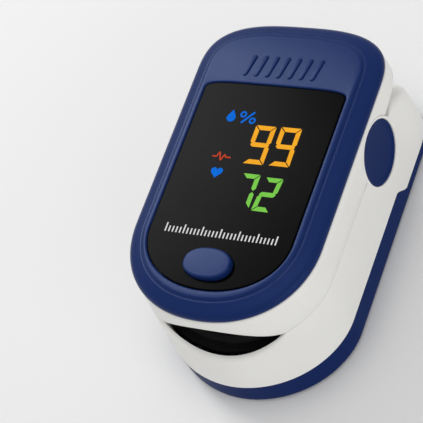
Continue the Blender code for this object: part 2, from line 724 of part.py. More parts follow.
def make_screws(prefix, places, z, upside_down, mesh, parent, parts):
    for i, (x, y) in enumerate(places):
        screw = bpy.data.objects.new(f"{prefix}_{i + 1}", mesh)
        parts.objects.link(screw)
        screw.rotation_euler = (math.pi if upside_down else 0.0, 0, 0)
        screw.location = Vector((x, y, z)) - parent.location
        screw.parent = parent


# The assembly


def build():
    clear_scene()
    parts = new_collection("fingertip_pulse_oximeter")
    cutters = new_collection("cutters")
    blue = plastic("blue_plastic", (0.035, 0.052, 0.175), 0.38)
    white = plastic("white_plastic", (0.66, 0.655, 0.63), 0.42)
    black = plastic("tinted_window", (0.006, 0.006, 0.006), 0.12)
    dark = plastic("dark_plastic", (0.02, 0.02, 0.022), 0.5)
    rubber = plastic("black_rubber", (0.015, 0.015, 0.015), 0.7)
    green = plastic("board_green", (0.01, 0.12, 0.05), 0.4)
    chip = plastic("chip_black", (0.02, 0.02, 0.02), 0.5)
    clear = plastic("clear_lens", (0.5, 0.45, 0.45), 0.1)
    steel = plastic("bright_steel", (0.6, 0.6, 0.6), 0.3, 1.0)
    nickel = plastic("nickel_plate", (0.62, 0.6, 0.55), 0.28, 1.0)
    wrap = plastic("cell_wrap", (0.12, 0.13, 0.14), 0.35)
    amber = plastic("cable_amber", (0.5, 0.22, 0.04), 0.35)

    base = axis_empty("lower_jaw_frame", (0, 0, 0), parts)
    hinge = axis_empty("jaw_hinge_axis", (0, HINGE_Y, HINGE_Z), parts)
    press = axis_empty("button_axis", (0, BUTTON_Y, BUTTON_TOP_Z), parts)
    slide = axis_empty("cover_slide_axis", (0, 0, 0), parts)

    hinge_point = tuple(hinge.location)
    lower_groove = groove_curve(LOWER_GROOVE_Z, LOWER_GROOVE_RISE)
    upper_groove = groove_curve(UPPER_GROOVE_Z, -UPPER_GROOVE_RISE)
    for piece in (
        make_top_cover(parts, cutters, blue),
        make_window(parts, cutters, black),
        make_upper_housing(parts, cutters, white),
        make_upper_frame(parts, cutters, dark),
        make_pad("upper_finger_pad", upper_groove, UPPER_PAD_BASE_Z, 2.5 * MM, parts, cutters, rubber),
        rod("emitter_window", 2.2 * MM, (0, SENSOR_Y, 19.15 * MM), (0, SENSOR_Y, 19.6 * MM), parts, clear),
        square_part("emitter_led", (0, SENSOR_Y), (1.2 * MM, 1.2 * MM), (19.9 * MM, 20.8 * MM), parts, clear),
        make_board(parts, cutters, green),
        box("display_module", (-DISPLAY_HALF_WIDTH, DISPLAY_HALF_WIDTH), DISPLAY_Y,
            (ON_BOARD_Z, DISPLAY_TOP_Z), parts, dark),
        square_part("mcu_chip", (6.5 * MM, -11.4 * MM), (2.2 * MM, 2.2 * MM),
                    (ON_BOARD_Z, ON_BOARD_Z + MM), parts, chip),
        square_part("cable_socket", (0, 18.4 * MM), (3.0 * MM, 1.4 * MM),
                    (ON_BOARD_Z, ON_BOARD_Z + 1.4 * MM), parts, chip),
        make_switch(parts, cutters, chip),
    ):
        set_origin(piece, hinge_point, hinge)

    plunger_z = (22.75 * MM, 23.45 * MM)
    plunger = rod("switch_plunger", 0.9 * MM, (0, BUTTON_Y, plunger_z[0]), (0, BUTTON_Y, plunger_z[1]), parts, nickel)
    for piece in (make_button(parts, blue), plunger):
        set_origin(piece, tuple(press.location), press)
    set_origin(make_battery_cover(parts, cutters, blue), (0, 0, 0), slide)

    for piece in (
        make_lower_housing(parts, cutters, white),
        make_lower_frame(parts, cutters, dark),
        make_pad("lower_finger_pad", lower_groove, LOWER_PAD_BASE_Z, 2.8 * MM, parts, cutters, rubber),
        rod("detector_window", 2.5 * MM, (0, SENSOR_Y, 13.15 * MM), (0, SENSOR_Y, 13.6 * MM), parts, clear),
        square_part("photodiode", (0, SENSOR_Y), (1.5 * MM, 1.5 * MM), (11.9 * MM, 12.9 * MM), parts, chip),
        square_part("detector_board", (0, -9.6 * MM), (2.3 * MM, 4.0 * MM), (11.2 * MM, 11.6 * MM), parts, green),
        contact_plate("bridge_contact", (-7.3 * MM, 7.3 * MM), -26.25 * MM, parts, nickel),
        contact_plate("negative_terminal", (-8.9 * MM, -2.0 * MM), 21.6 * MM, parts, nickel),
        contact_plate("positive_terminal", (2.0 * MM, 8.9 * MM), 21.6 * MM, parts, nickel),
        rod("hinge_pin", PIN_RADIUS, (-PIN_HALF_LENGTH, HINGE_Y, HINGE_Z),
            (PIN_HALF_LENGTH, HINGE_Y, HINGE_Z), parts, steel),
        contact_spring("bridge_spring", CELL_X, -25.6 * MM, -23.85 * MM, parts, nickel),
        contact_spring("negative_spring", -CELL_X, 21.25 * MM, 19.25 * MM, parts, nickel),
        torsion_spring("torsion_spring_left", -1, parts, steel),
        torsion_spring("torsion_spring_right", 1, parts, steel),
        make_cable(parts, amber),
    ):
        set_origin(piece, (0, 0, 0), base)

    for name, side in (("hinge_cap_left", -1), ("hinge_cap_right", 1)):
        ends = [(side * x, HINGE_Y, HINGE_Z) for x in CAP_X]
        cap = rod(name, CAP_RADIUS, ends[0], ends[1], parts, blue, sides=40)
        set_origin(cap, hinge_point, base)

    for cell in (
        make_cell("battery_1", -CELL_X, FRONT_CELL_NOSE_Y, -1, parts, wrap),
        make_cell("battery_2", CELL_X, REAR_CELL_NOSE_Y, 1, parts, wrap),
    ):
        cell.parent = base

    screw = screw_mesh(steel)
    make_screws("upper_screw", UPPER_SCREWS, UPPER_FRAME_Z[0] - 0.2 * MM, True, screw, hinge, parts)
    make_screws("lower_screw", LOWER_SCREWS, LOWER_FRAME_Z[1] + 0.2 * MM, False, screw, base, parts)


build()
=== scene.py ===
"""Looks of a fingertip pulse oximeter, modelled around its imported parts.

Metres, +Z up. The finger goes in from -Y, the pressed end is at +Y and the display faces +Z.
Sizes are given in millimetres and multiplied by MM.
"""

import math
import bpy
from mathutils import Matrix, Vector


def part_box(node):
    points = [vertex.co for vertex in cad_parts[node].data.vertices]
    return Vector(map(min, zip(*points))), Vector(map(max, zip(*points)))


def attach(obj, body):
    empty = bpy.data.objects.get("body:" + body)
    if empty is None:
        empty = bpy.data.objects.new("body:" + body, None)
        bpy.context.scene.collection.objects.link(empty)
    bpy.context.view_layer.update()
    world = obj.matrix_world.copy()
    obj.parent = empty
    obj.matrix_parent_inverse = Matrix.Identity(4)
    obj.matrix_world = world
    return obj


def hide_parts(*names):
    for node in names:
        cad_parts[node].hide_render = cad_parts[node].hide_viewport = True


bl_info = {
    "name": "Fingertip Pulse Oximeter",
    "version": (1, 0, 0),
    "blender": (4, 5, 0),
    "location": "3D View > Sidebar > Oximeter",
    "description": "Builds the visible pieces of a fingertip pulse oximeter on its packed frame",
    "category": "Object",
}

import bmesh
import bpy
from bpy.props import FloatProperty, FloatVectorProperty, PointerProperty
from mathutils import Matrix, Vector

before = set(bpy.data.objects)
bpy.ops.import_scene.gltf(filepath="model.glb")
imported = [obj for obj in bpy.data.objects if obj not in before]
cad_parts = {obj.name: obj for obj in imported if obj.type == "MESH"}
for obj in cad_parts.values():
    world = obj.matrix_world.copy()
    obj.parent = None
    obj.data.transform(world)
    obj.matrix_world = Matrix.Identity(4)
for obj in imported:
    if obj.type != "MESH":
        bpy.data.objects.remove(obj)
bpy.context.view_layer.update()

MM = 0.001

# Outer sections: half width, nose start, nose reach, nose power, heel start, heel reach, heel power
HEEL_START = 19.73 * MM
BEZEL = (18.0 * MM, -10.73 * MM, 16.15 * MM, 2.15, HEEL_START, 11.0 * MM, 3.0)
STRIPE = (18.25 * MM, -14.97 * MM, 15.68 * MM, 1.95, HEEL_START, 11.1 * MM, 3.0)
BASE = (18.25 * MM, -15.05 * MM, 15.82 * MM, 1.95, HEEL_START, 11.1 * MM, 3.0)
WINDOW = (13.74 * MM, -11.9 * MM, 10.3 * MM, 2.1, 15.15 * MM, 2.15 * MM, 4.9)
SECTIONS = ((0.0, BASE), (5.14 * MM, STRIPE), (22.76 * MM, BEZEL))
SHARP_ANGLE = 32.0
NOSE_STEPS = 30
HEEL_STEPS = 26
LEAD_STEPS = 4
SIDE_START = -8.0 * MM

# Hinge
HINGE_Y = 11.73 * MM
HINGE_Z = 15.6 * MM
EAR_RADIUS = 6.35 * MM
CAP_OPENING_RADIUS = 5.8 * MM
CAP_PLAY = 0.04 * MM
CAP_DEPTH = 2.35 * MM
CAP_HEIGHTEN = 1.045
WALL_LEAN = 0.0142

# Where the jaws meet
PARTING_Z = 16.2 * MM
MOUTH_HALF_WIDTH = 13.0 * MM
MOUTH_START_Y = -15 * MM
MOUTH_ARCH = 4.5 * MM
MOUTH_DIP = 3.7 * MM
WALL = 1.4 * MM
UPPER_SHELL_TOP_Z = 22.50 * MM

# Behind the hinge
NOTCH_Y = 18.1 * MM
UPPER_HEEL_Z = 18.2 * MM
LOWER_HEEL_Z = 17.0 * MM
HEEL_WIDTH = 18.1 * MM
HEEL_LENGTH = 11.05 * MM
HEEL_INSET = 2.0 * MM
SPRING_POCKET = (5.2 * MM, 5.0 * MM, 3.0 * MM)
SPRING_POCKET_PLACE = (11.4 * MM, 19.3 * MM, 19.0 * MM)

# Battery cover
STRIPE_Z = (5.14 * MM, 2.45 * MM)
STEP_START_Y = 9.4 * MM
STEP_LENGTH = 3.2 * MM
STRIPE_GAP = 0.07 * MM
COVER_WALL = 1.2 * MM
COVER_RADIUS = 1.2 * MM
COVER_EDGE = 0.08 * MM
GRIP_GROOVES = 6
GRIP_SPACING = 1.9 * MM

# Display
MARK_Z = (25.33 * MM, 25.375 * MM)
UPPER_DIGITS = (("9", -0.90 * MM, 1.85 * MM, 0.0), ("9", 4.08 * MM, 1.95 * MM, -0.015))
UPPER_DIGIT_SIZE = (3.95 * MM, 7.5 * MM)
UPPER_STROKE = 0.86 * MM
LOWER_DIGITS = (("7", 0.02 * MM, -6.5 * MM, 0.0), ("2", 3.95 * MM, -6.8 * MM, 0.09))
LOWER_DIGIT_SIZE = (3.4 * MM, 6.45 * MM)
LOWER_STROKE = 0.84 * MM
STROKE_GAP = 0.125 * MM

# Button
BUTTON_Y = -17.68 * MM
BUTTON_SIZE = (4.47 * MM, 2.80 * MM)
BUTTON_POWER = 2.25
BUTTON_GAP = 0.17 * MM
BUTTON_STEPS = 72

# Press mark
PRESS_BARS = 7
PRESS_SPACING = 2.2 * MM
PRESS_BAR = (0.85 * MM, 4.3 * MM)
PRESS_LEAN = 0.45 * MM
PRESS_PLACE = (0.1 * MM, 21.0 * MM)
PRESS_Z = (25.30 * MM, 25.40 * MM)

# Finger pads
PAD_HALF_WIDTH = 12.4 * MM
PAD_GROOVE = 9.2 * MM
PAD_REAR_Y = 6.9 * MM
PAD_FRONT_INSET = 3.0 * MM
SENSOR_Y = -10 * MM
RIDGE_SPACING = 4.2 * MM

# Camera
CAMERA_PLACE = (161.03, -128.04, 275.67)
CAMERA_TURN = (32.105, 23.647, 21.225)
CAMERA_LENS = 163.92


# Settings


class OximeterSizes(bpy.types.PropertyGroup):
    """Sizes that a user would change."""

    seam: FloatProperty(
        name="Jaw seam", description="Gap between the two white shells", default=0.05 * MM,
        subtype="DISTANCE", unit="LENGTH",
    )
    cap_recess: FloatProperty(
        name="Cap recess", description="How far the hinge caps sit below the wall", default=0.16 * MM,
        subtype="DISTANCE", unit="LENGTH",
    )
    button_top: FloatProperty(
        name="Button top", description="Height of the button's face", default=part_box("power_button")[1].z,
        subtype="DISTANCE", unit="LENGTH",
    )
    grip_height: FloatProperty(
        name="Grip height", description="How far the press mark stands up", default=0.22 * MM,
        subtype="DISTANCE", unit="LENGTH",
    )


class OximeterColours(bpy.types.PropertyGroup):
    """Colours that a user would change."""

    blue: FloatVectorProperty(
        name="Blue plastic", description="Cover, button, caps and battery cover",
        default=(0.0055, 0.0190, 0.098), subtype="COLOR", min=0, max=1,
    )
    white: FloatVectorProperty(
        name="White plastic", description="Both shells",
        default=(0.80, 0.793, 0.768), subtype="COLOR", min=0, max=1,
    )
    amber: FloatVectorProperty(
        name="Upper digits", description="Light of the upper digits",
        default=(0.96, 0.42, 0.026), subtype="COLOR", min=0, max=1,
    )
    green: FloatVectorProperty(
        name="Lower digits", description="Light of the lower digits",
        default=(0.20, 0.60, 0.080), subtype="COLOR", min=0, max=1,
    )
    floor: FloatVectorProperty(
        name="Floor", description="Studio floor",
        default=(0.765, 0.765, 0.765), subtype="COLOR", min=0, max=1,
    )


class OximeterLights(bpy.types.PropertyGroup):
    """Strength of the studio lights."""

    top: FloatProperty(name="Top", description="Large soft light overhead", default=0.45, subtype="POWER")
    left: FloatProperty(name="Left", description="Light behind, on the left", default=0.92, subtype="POWER")
    fill: FloatProperty(name="Fill", description="Wide light on the right", default=0.42, subtype="POWER")
    surround: FloatProperty(name="Surround", description="Light from all round", default=0.64)


# Shader expressions


class Wire:
    """A shader value that Python expressions can work on."""

    def __init__(self, finish, socket):
        self.finish = finish
        self.socket = socket

    def math(self, operation, *others):
        return self.finish.node("ShaderNodeMath", {"operation": operation}, dict(enumerate((self, *others))))

    def reflected(self, operation, first):
        return self.finish.node("ShaderNodeMath", {"operation": operation}, {0: first, 1: self})

    def __add__(self, other):
        return self.math("ADD", other)

    def __radd__(self, other):
        return self.math("ADD", other)

    def __sub__(self, other):
        return self.math("SUBTRACT", other)

    def __rsub__(self, other):
        return self.reflected("SUBTRACT", other)

    def __mul__(self, other):
        return self.math("MULTIPLY", other)

    def __rmul__(self, other):
        return self.math("MULTIPLY", other)

    def __truediv__(self, other):
        return self.math("DIVIDE", other)

    def __rtruediv__(self, other):
        return self.reflected("DIVIDE", other)

    def __neg__(self):
        return self.math("MULTIPLY", -1.0)

    def __abs__(self):
        return self.math("ABSOLUTE")

    def above(self, edge, soft):
        """0 below the edge, 1 above it, smooth over the given width."""
        span = {"Value": self, "From Min": edge - soft / 2, "From Max": edge + soft / 2}
        return self.finish.node("ShaderNodeMapRange", {"interpolation_type": "SMOOTHSTEP"}, span)

    def below(self, edge, soft):
        return 1 - self.above(edge, soft)


def connect(tree, value, socket):
    """Joins a wire to a socket, or sets a plain value on it."""
    if isinstance(value, Wire):
        tree.links.new(value.socket, socket)
    elif socket.type == "RGBA" and len(value) == 3:
        socket.default_value = (*value, 1.0)
    else:
        socket.default_value = value


class Finish:
    """A material under construction."""

    def __init__(self, name):
        self.material = bpy.data.materials.new(name)
        self.material.use_nodes = True
        self.tree = self.material.node_tree
        self.shader = self.tree.nodes["Principled BSDF"]
        self.place = self.node("ShaderNodeTexCoord", out="Object")

    def node(self, kind, settings=None, inputs=None, out=0):
        """Adds a node, applies its settings, then its inputs, and gives one of its outputs."""
        made = self.tree.nodes.new(kind)
        for name, value in (settings or {}).items():
            setattr(made, name, value)
        for name, value in (inputs or {}).items():
            connect(self.tree, value, made.inputs[name])
        return Wire(self, made.outputs[out])

    def noise(self, scale, detail=2.0, rough=0.5, place=None):
        inputs = {"Vector": place or self.place, "Scale": scale, "Detail": detail, "Roughness": rough}
        return self.node("ShaderNodeTexNoise", inputs=inputs)

    def axes(self):
        """The place along X, Y and Z, in metres."""
        return [self.node("ShaderNodeSeparateXYZ", inputs={0: self.place}, out=axis) for axis in "XYZ"]

    def mix(self, share, first, second):
        """A colour between two colours."""
        return self.node("ShaderNodeMix", {"data_type": "RGBA"}, {0: share, 6: first, 7: second}, out=2)

    def bump(self, height, distance, strength=1.0):
        inputs = {"Height": height, "Distance": distance, "Strength": strength}
        self.set("Normal", self.node("ShaderNodeBump", inputs=inputs))

    def set(self, name, value):
        connect(self.tree, value, self.shader.inputs[name])


def tint(colour, factor):
    return tuple(min(channel * factor, 1.0) for channel in colour)


PLAIN_SHEEN = (1.0, 1.0, 1.0, 1.0)
BLUE_SHEEN = (0.52, 0.66, 1.0, 1.0)


def moulded_plastic(name, colour, roughness, grain, gloss=0.5, sheen=PLAIN_SHEEN):
    """Moulded plastic: a fine spark texture, faint cloudiness and slightly uneven gloss."""
    finish = Finish(name)
    cloud = finish.noise(90.0, 3.0)
    spark = finish.noise(9000.0, 2.0, 0.6)
    finish.set("Base Color", finish.mix(cloud, tint(colour, 0.95), tint(colour, 1.05)))
    finish.set("Roughness", roughness - 0.04 + cloud * 0.05 + spark * 0.03)
    finish.set("Specular IOR Level", gloss)
    finish.set("Specular Tint", sheen)
    finish.bump(spark, grain)
    return finish.material


def window_acrylic():
    """Black tinted acrylic, with the display block showing faintly through it and light smears."""
    finish = Finish("window_acrylic")
    x, y, _ = finish.axes()
    inside = abs(x).below(10.0 * MM, 0.3 * MM) * abs(y - 2.8 * MM).below(11.4 * MM, 0.3 * MM)
    smear = finish.noise(140.0, 4.0, 0.65)
    finish.set("Base Color", finish.mix(inside, (0.0008, 0.0008, 0.0008), (0.0004, 0.0004, 0.0004)))
    finish.set("Roughness", 0.19 + smear * 0.02)
    finish.set("Specular IOR Level", 0.018)
    return finish.material


def lit_mark(name, colour, strength):
    """A glowing mark under the window, with slightly uneven light. A printed mark made with it gets a painted
    glow in place of the lamps' light on the print.
    """
    finish = Finish(name)
    glow = finish.noise(700.0, 1.0)
    finish.set("Base Color", (0.0, 0.0, 0.0))
    finish.set("Roughness", 0.3)
    finish.set("Specular IOR Level", 0.0)
    finish.set("Emission Color", finish.mix(glow, tint(colour, 0.86), tint(colour, 1.08)))
    finish.set("Emission Strength", strength)
    return finish.material


def silicone(name):
    """Matt black silicone with a soft skin."""
    finish = Finish(name)
    skin = finish.noise(3500.0, 3.0, 0.6)
    dust = finish.noise(260.0, 4.0, 0.7)
    finish.set("Base Color", finish.mix(dust, (0.0025, 0.0025, 0.0027), (0.0055, 0.0055, 0.006)))
    finish.set("Roughness", 0.62 + dust * 0.15)
    finish.set("Specular IOR Level", 0.12)
    finish.bump(skin, 0.00003)
    return finish.material


def drawn_metal(name, colour, roughness):
    """Bright wire or sheet metal with fine drawing lines."""
    finish = Finish(name)
    stretched = finish.node("ShaderNodeMapping", inputs={"Vector": finish.place, "Scale": (3.0, 0.25, 3.0)})
    lines = finish.noise(2600.0, 3.0, 0.6, stretched)
    finish.set("Base Color", finish.mix(lines, tint(colour, 0.88), tint(colour, 1.06)))
    finish.set("Metallic", 1.0)
    finish.set("Roughness", roughness + lines * 0.12)
    finish.bump(lines, 0.000008)
    return finish.material


def circuit_board(name):
    """Green solder mask with copper tracks showing through as lighter lines."""
    finish = Finish(name)
    x, y, _ = finish.axes()
    wander = finish.noise(300.0, 1.0)
    across = (x * 1500.0 + wander * 3.0).math("FRACT").above(0.62, 0.08)
    along = (y * 900.0 + wander * 2.0).math("FRACT").above(0.70, 0.08)
    zone = finish.noise(160.0, 0.0).above(0.5, 0.02)
    tracks = across * zone + along * (1 - zone)
    finish.set("Base Color", finish.mix(tracks, (0.008, 0.075, 0.030), (0.02, 0.16, 0.06)))
    finish.set("Roughness", 0.30 + tracks * 0.12)
    finish.bump(tracks, 0.00004)
    return finish.material


def cell_sleeve(name):
    """A printed sleeve in two tones, with bare metal ends."""
    finish = Finish(name)
    _, y, _ = finish.axes()
    band = (abs(y + 2.2 * MM)).above(15.0 * MM, 0.1 * MM)
    bare = (abs(y + 2.2 * MM)).above(21.9 * MM, 0.1 * MM)
    scuff = finish.noise(900.0, 4.0, 0.7)
    sleeve = finish.mix(band, (0.05, 0.055, 0.06), (0.42, 0.20, 0.03))
    finish.set("Base Color", finish.mix(bare, sleeve, (0.62, 0.61, 0.58)))
    finish.set("Metallic", bare)
    finish.set("Roughness", 0.28 + scuff * 0.14)
    return finish.material


def clear_epoxy(name):
    """Cloudy clear epoxy over a small chip."""
    finish = Finish(name)
    haze = finish.noise(1200.0, 2.0)
    finish.set("Base Color", finish.mix(haze, (0.42, 0.36, 0.34), (0.58, 0.52, 0.50)))
    finish.set("Roughness", 0.12 + haze * 0.10)
    finish.set("Coat Weight", 0.6)
    return finish.material


def polyimide(name):
    """Amber film with copper lines inside."""
    finish = Finish(name)
    x, _, _ = finish.axes()
    line = (x * 1600.0).math("FRACT").above(0.55, 0.1)
    finish.set("Base Color", finish.mix(line, (0.42, 0.17, 0.03), (0.60, 0.28, 0.07)))
    finish.set("Roughness", 0.30 + line * 0.08)
    finish.bump(line, 0.00002)
    return finish.material


def studio_floor(colour):
    finish = Finish("studio_floor")
    mottle = finish.noise(6.0, 2.0)
    finish.set("Base Color", finish.mix(mottle, tint(colour, 0.99), tint(colour, 1.01)))
    finish.set("Roughness", 0.7 + mottle * 0.05)
    return finish.material


MATERIALS = {}


def material(name):
    """Each finish is made once, when it is first asked for."""
    colours = bpy.context.scene.oximeter_colours
    makers = {
        "blue_shell": lambda n: moulded_plastic(n, colours.blue, 0.31, 0.000012, 0.17, BLUE_SHEEN),
        "blue_side": lambda n: moulded_plastic(n, colours.blue, 0.42, 0.000012, 0.04, BLUE_SHEEN),
        "blue_button": lambda n: moulded_plastic(
            n, tint(colours.blue, 1.04), 0.32, 0.000010, 0.17, BLUE_SHEEN
        ),
        "white_shell": lambda n: moulded_plastic(n, colours.white, 0.40, 0.000008, 0.4),
        "amber_light": lambda n: lit_mark(n, colours.amber, 1.0),
        "green_light": lambda n: lit_mark(n, colours.green, 1.0),
        "blue_light": lambda n: lit_mark(n, (0.006, 0.150, 0.70), 1.0),
        "red_light": lambda n: lit_mark(n, (0.56, 0.058, 0.025), 1.0),
        # The printed scale gets a painted glow: emission stands in for lamp light falling on white print.
        "white_print_painted_glow": lambda n: lit_mark(n, (0.75, 0.75, 0.75), 1.0),
        "window_acrylic": lambda n: window_acrylic(),
        "black_silicone": silicone,
        "frame_plastic": lambda n: moulded_plastic(n, (0.004, 0.004, 0.0045), 0.5, 0.00002, 0.12),
        "chip_epoxy": lambda n: moulded_plastic(n, (0.018, 0.018, 0.019), 0.55, 0.00003),
        "spring_steel": lambda n: drawn_metal(n, (0.62, 0.62, 0.63), 0.22),
        "nickel": lambda n: drawn_metal(n, (0.66, 0.63, 0.56), 0.20),
        "circuit_board": circuit_board,
        "cell_sleeve": cell_sleeve,
        "clear_epoxy": clear_epoxy,
        "polyimide": polyimide,
    }
    if name not in MATERIALS:
        MATERIALS[name] = makers[name](name)
    return MATERIALS[name]


# Outlines


def superellipse(half_width, reach, power, angle):
    c, s = math.cos(angle), math.sin(angle)
    stretch = (abs(c) ** power + abs(s) ** power) ** (-1 / power)
    return half_width * c * stretch, reach * s * stretch


def stations(side_ys):
    """Ways round the right half of the body, from the nose's tip to the heel's middle."""
    nose = [("nose", math.radians(90 * i / NOSE_STEPS - 90)) for i in range(NOSE_STEPS + 1)]
    lead = [("lead", i / LEAD_STEPS) for i in range(1, LEAD_STEPS)]
    side = [("side", y) for y in side_ys]
    heel = [("heel", math.radians(90 * i / HEEL_STEPS)) for i in range(HEEL_STEPS + 1)]
    return nose + lead + side + heel


def spaced(start, end, count):
    return [start + (end - start) * i / count for i in range(count)]


def ear_ys():
    """Side stations that follow the hinge ear's circle and the step in the battery cover's edge."""
    steps = 26
    ear = [HINGE_Y - EAR_RADIUS * math.cos(math.pi * i / steps) for i in range(steps + 1)]
    step = spaced(9.5 * MM, 12.5 * MM, 12)
    merged = []
    for y in sorted(ear + step + spaced(SIDE_START, ear[0], 5)):
        if not merged or y - merged[-1] > 0.12 * MM or y in (ear[0], ear[-1]):
            merged.append(y)
    return merged


def place(station, section, inset):
    """Where a station lies on a section, moved inwards by the inset."""
    half_width, nose_start, nose_reach, nose_power, heel_start, heel_reach, heel_power = section
    kind, value = station
    if kind == "nose":
        x, y = superellipse(half_width - inset, nose_reach - inset, nose_power, value)
        return x, nose_start + y
    if kind == "heel":
        x, y = superellipse(half_width - inset, heel_reach - inset, heel_power, value)
        return x, heel_start + y
    if kind == "lead":
        return half_width - inset, nose_start + (SIDE_START - nose_start) * value
    stretch = (heel_start - SIDE_START) / (HEEL_START - SIDE_START)
    return half_width - inset, SIDE_START + (value - SIDE_START) * stretch


def section_at(z):
    """The body's outer section at a height."""
    low_z, low = SECTIONS[0]
    for high_z, high in SECTIONS[1:]:
        if z <= high_z or high_z == SECTIONS[-1][0]:
            break
        low_z, low = high_z, high
    share = min(max((z - low_z) / (high_z - low_z), 0.0), 1.0)
    return [a + (b - a) * share for a, b in zip(low, high)]


def round_trip(ways):
    """The stations of the right half, then those of the left half, as (station, side)."""
    return [(way, 1) for way in ways] + [(way, -1) for way in ways[-2:0:-1]]


def body_ring(columns, levels, section=None):
    """A ring of points; levels gives each column's inset and height."""
    ring = []
    for (way, side), (inset, z) in zip(columns, levels):
        x, y = place(way, section or section_at(z), inset)
        ring.append((side * x, y, z))
    return ring


def flat_ring(columns, inset, z, section=None):
    return body_ring(columns, [(inset, z)] * len(columns), section)


# Mesh building


def wrap(bm, rings, closed=False):
    """Extrudes a loop of edges through the rings; closed brings it back to the first one."""
    count = len(rings[0])
    verts = [bm.verts.new(point) for point in rings[0]]
    edges = [bm.edges.new((verts[i], verts[(i + 1) % count])) for i in range(count)]
    first = verts
    for ring in rings[1:] + ([rings[0]] if closed else []):
        made = bmesh.ops.extrude_edge_only(bm, edges=edges)["geom"]
        fresh = {item for item in made if isinstance(item, bmesh.types.BMVert)}
        verts = [next(e.other_vert(v) for e in v.link_edges if e.other_vert(v) in fresh) for v in verts]
        edges = [bm.edges.get((verts[i], verts[(i + 1) % count])) for i in range(count)]
        for vert, point in zip(verts, ring):
            vert.co = point
    return first, verts


def finish_mesh(name, bm, look, sharp=SHARP_ANGLE):
    """Closes a mesh's seams, points its faces outwards and makes it an object."""
    bmesh.ops.remove_doubles(bm, verts=bm.verts, dist=0.0005 * MM)
    bmesh.ops.recalc_face_normals(bm, faces=bm.faces)
    mesh = bpy.data.meshes.new(name)
    bm.to_mesh(mesh)
    bm.free()
    piece = bpy.data.objects.new(name, mesh)
    bpy.context.scene.collection.objects.link(piece)
    if look:
        mesh.materials.append(material(look))
    mesh.shade_smooth()
    mesh.set_sharp_from_angle(angle=math.radians(sharp))
    return piece


def cut(piece, bm):
    """Cuts a piece with a cutter mesh, which is then thrown away."""
    cutter = finish_mesh("cutter", bm, None)
    modifier = piece.modifiers.new("cut", "BOOLEAN")
    modifier.operation = "DIFFERENCE"
    modifier.solver = "EXACT"
    modifier.object = cutter
    graph = bpy.context.evaluated_depsgraph_get()
    mesh = bpy.data.meshes.new_from_object(piece.evaluated_get(graph), depsgraph=graph)
    old = piece.data
    piece.modifiers.clear()
    piece.data = mesh
    mesh.name = old.name
    bpy.data.meshes.remove(old)
    bpy.data.objects.remove(cutter)
    while len(mesh.materials) > 1:
        mesh.materials.pop()
    mesh.shade_smooth()
    mesh.set_sharp_from_angle(angle=math.radians(SHARP_ANGLE))


def turned(bm, profile, axis, centre, steps=64):
    """Spins a profile of (radius, height) round an axis through the centre."""
    axis = Vector(axis)
    across = axis.orthogonal().normalized()
    verts = [bm.verts.new(Vector(centre) + across * radius + axis * height) for radius, height in profile]
    edges = [bm.edges.new(pair) for pair in zip(verts, verts[1:])]
    bmesh.ops.spin(
        bm, geom=verts + edges, cent=centre, axis=axis, angle=2 * math.pi, steps=steps, use_merge=True
    )


def plate(bm, outline, z):
    """A flat outline raised from one height to another."""
    verts = [bm.verts.new((x, y, z[0])) for x, y in outline]
    face = bm.faces.new(verts)
    raised = bmesh.ops.extrude_face_region(bm, geom=[face], use_keep_orig=True)["geom"]
    top = [item for item in raised if isinstance(item, bmesh.types.BMVert)]
    bmesh.ops.translate(bm, vec=(0, 0, z[1] - z[0]), verts=top)


def bar(bm, start, end, width, z):
    """A straight stroke with square ends."""
    run = Vector(end) - Vector(start)
    side = Vector((-run.y, run.x)).normalized() * width / 2
    start, end = Vector(start), Vector(end)
    plate(bm, [start + side, start - side, end - side, end + side], z)


def round_edges(bm, edges, radius, segments):
    """Rounds edges of a mesh."""
    bmesh.ops.bevel(
        bm, geom=edges, offset=radius, segments=segments, profile=0.5, affect="EDGES", material=-1,
        clamp_overlap=True,
    )


def disc_ring(bm, centre, radius, width, z, steps=24):
    """A flat ring, bridged between two circles and raised."""
    loops = []
    for size in (radius, radius - width):
        circle = bmesh.ops.create_circle(
            bm, segments=steps, radius=size, matrix=Matrix.Translation((*centre, z[0]))
        )["verts"]
        loops += list({edge for vert in circle for edge in vert.link_edges})
    faces = bmesh.ops.bridge_loops(bm, edges=loops)["faces"]
    raised = bmesh.ops.extrude_face_region(bm, geom=faces, use_keep_orig=True)["geom"]
    top = [item for item in raised if isinstance(item, bmesh.types.BMVert)]
    bmesh.ops.translate(bm, vec=(0, 0, z[1] - z[0]), verts=top)


def keep(piece, body, slot, *nodes):
    """Declares what a finished piece rides on and hides the nodes it stands for; the slot argument, meant for
    its finish, is not used.
    """
    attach(piece, body)
    if nodes:
        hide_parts(*nodes)
    return piece


# Edge lines of the shells


def smooth(share):
    share = min(max(share, 0.0), 1.0)
    return share * share * (3 - 2 * share)


def over_ear(y, radius):
    """Height of the ear's circle above a place along the side, or nothing outside it."""
    reach = radius * radius - (y - HINGE_Y) ** 2
    return HINGE_Z + math.sqrt(reach) if reach > 0 else None


def mouth_share(x, y):
    """1 in the middle of the finger mouth, 0 at its corners and elsewhere."""
    if y > MOUTH_START_Y or abs(x) >= MOUTH_HALF_WIDTH:
        return 0.0
    return 1 - (x / MOUTH_HALF_WIDTH) ** 2


def upper_edge(x, y, seam):
    """Height of the upper shell's lower edge."""
    ear = over_ear(y, EAR_RADIUS + seam)
    if y > HINGE_Y:
        rise = min(max(y - NOTCH_Y, 0.0) * 0.12, 0.55 * MM)
        return max(ear or 0.0, UPPER_HEEL_Z + rise)
    share = mouth_share(x, y)
    arch = share * (1 - 0.55 * (1 - share) ** 1.6)
    return max(ear or 0.0, PARTING_Z + seam / 2 + MOUTH_ARCH * arch)


def heel_slope(y):
    """Height of the lower shell's top, which falls away behind the hinge."""
    back = max(y - NOTCH_Y, 0.0)
    return min(LOWER_HEEL_Z, LOWER_HEEL_Z + 0.9 * MM - 0.22 * back - 0.040 / MM * back * back)


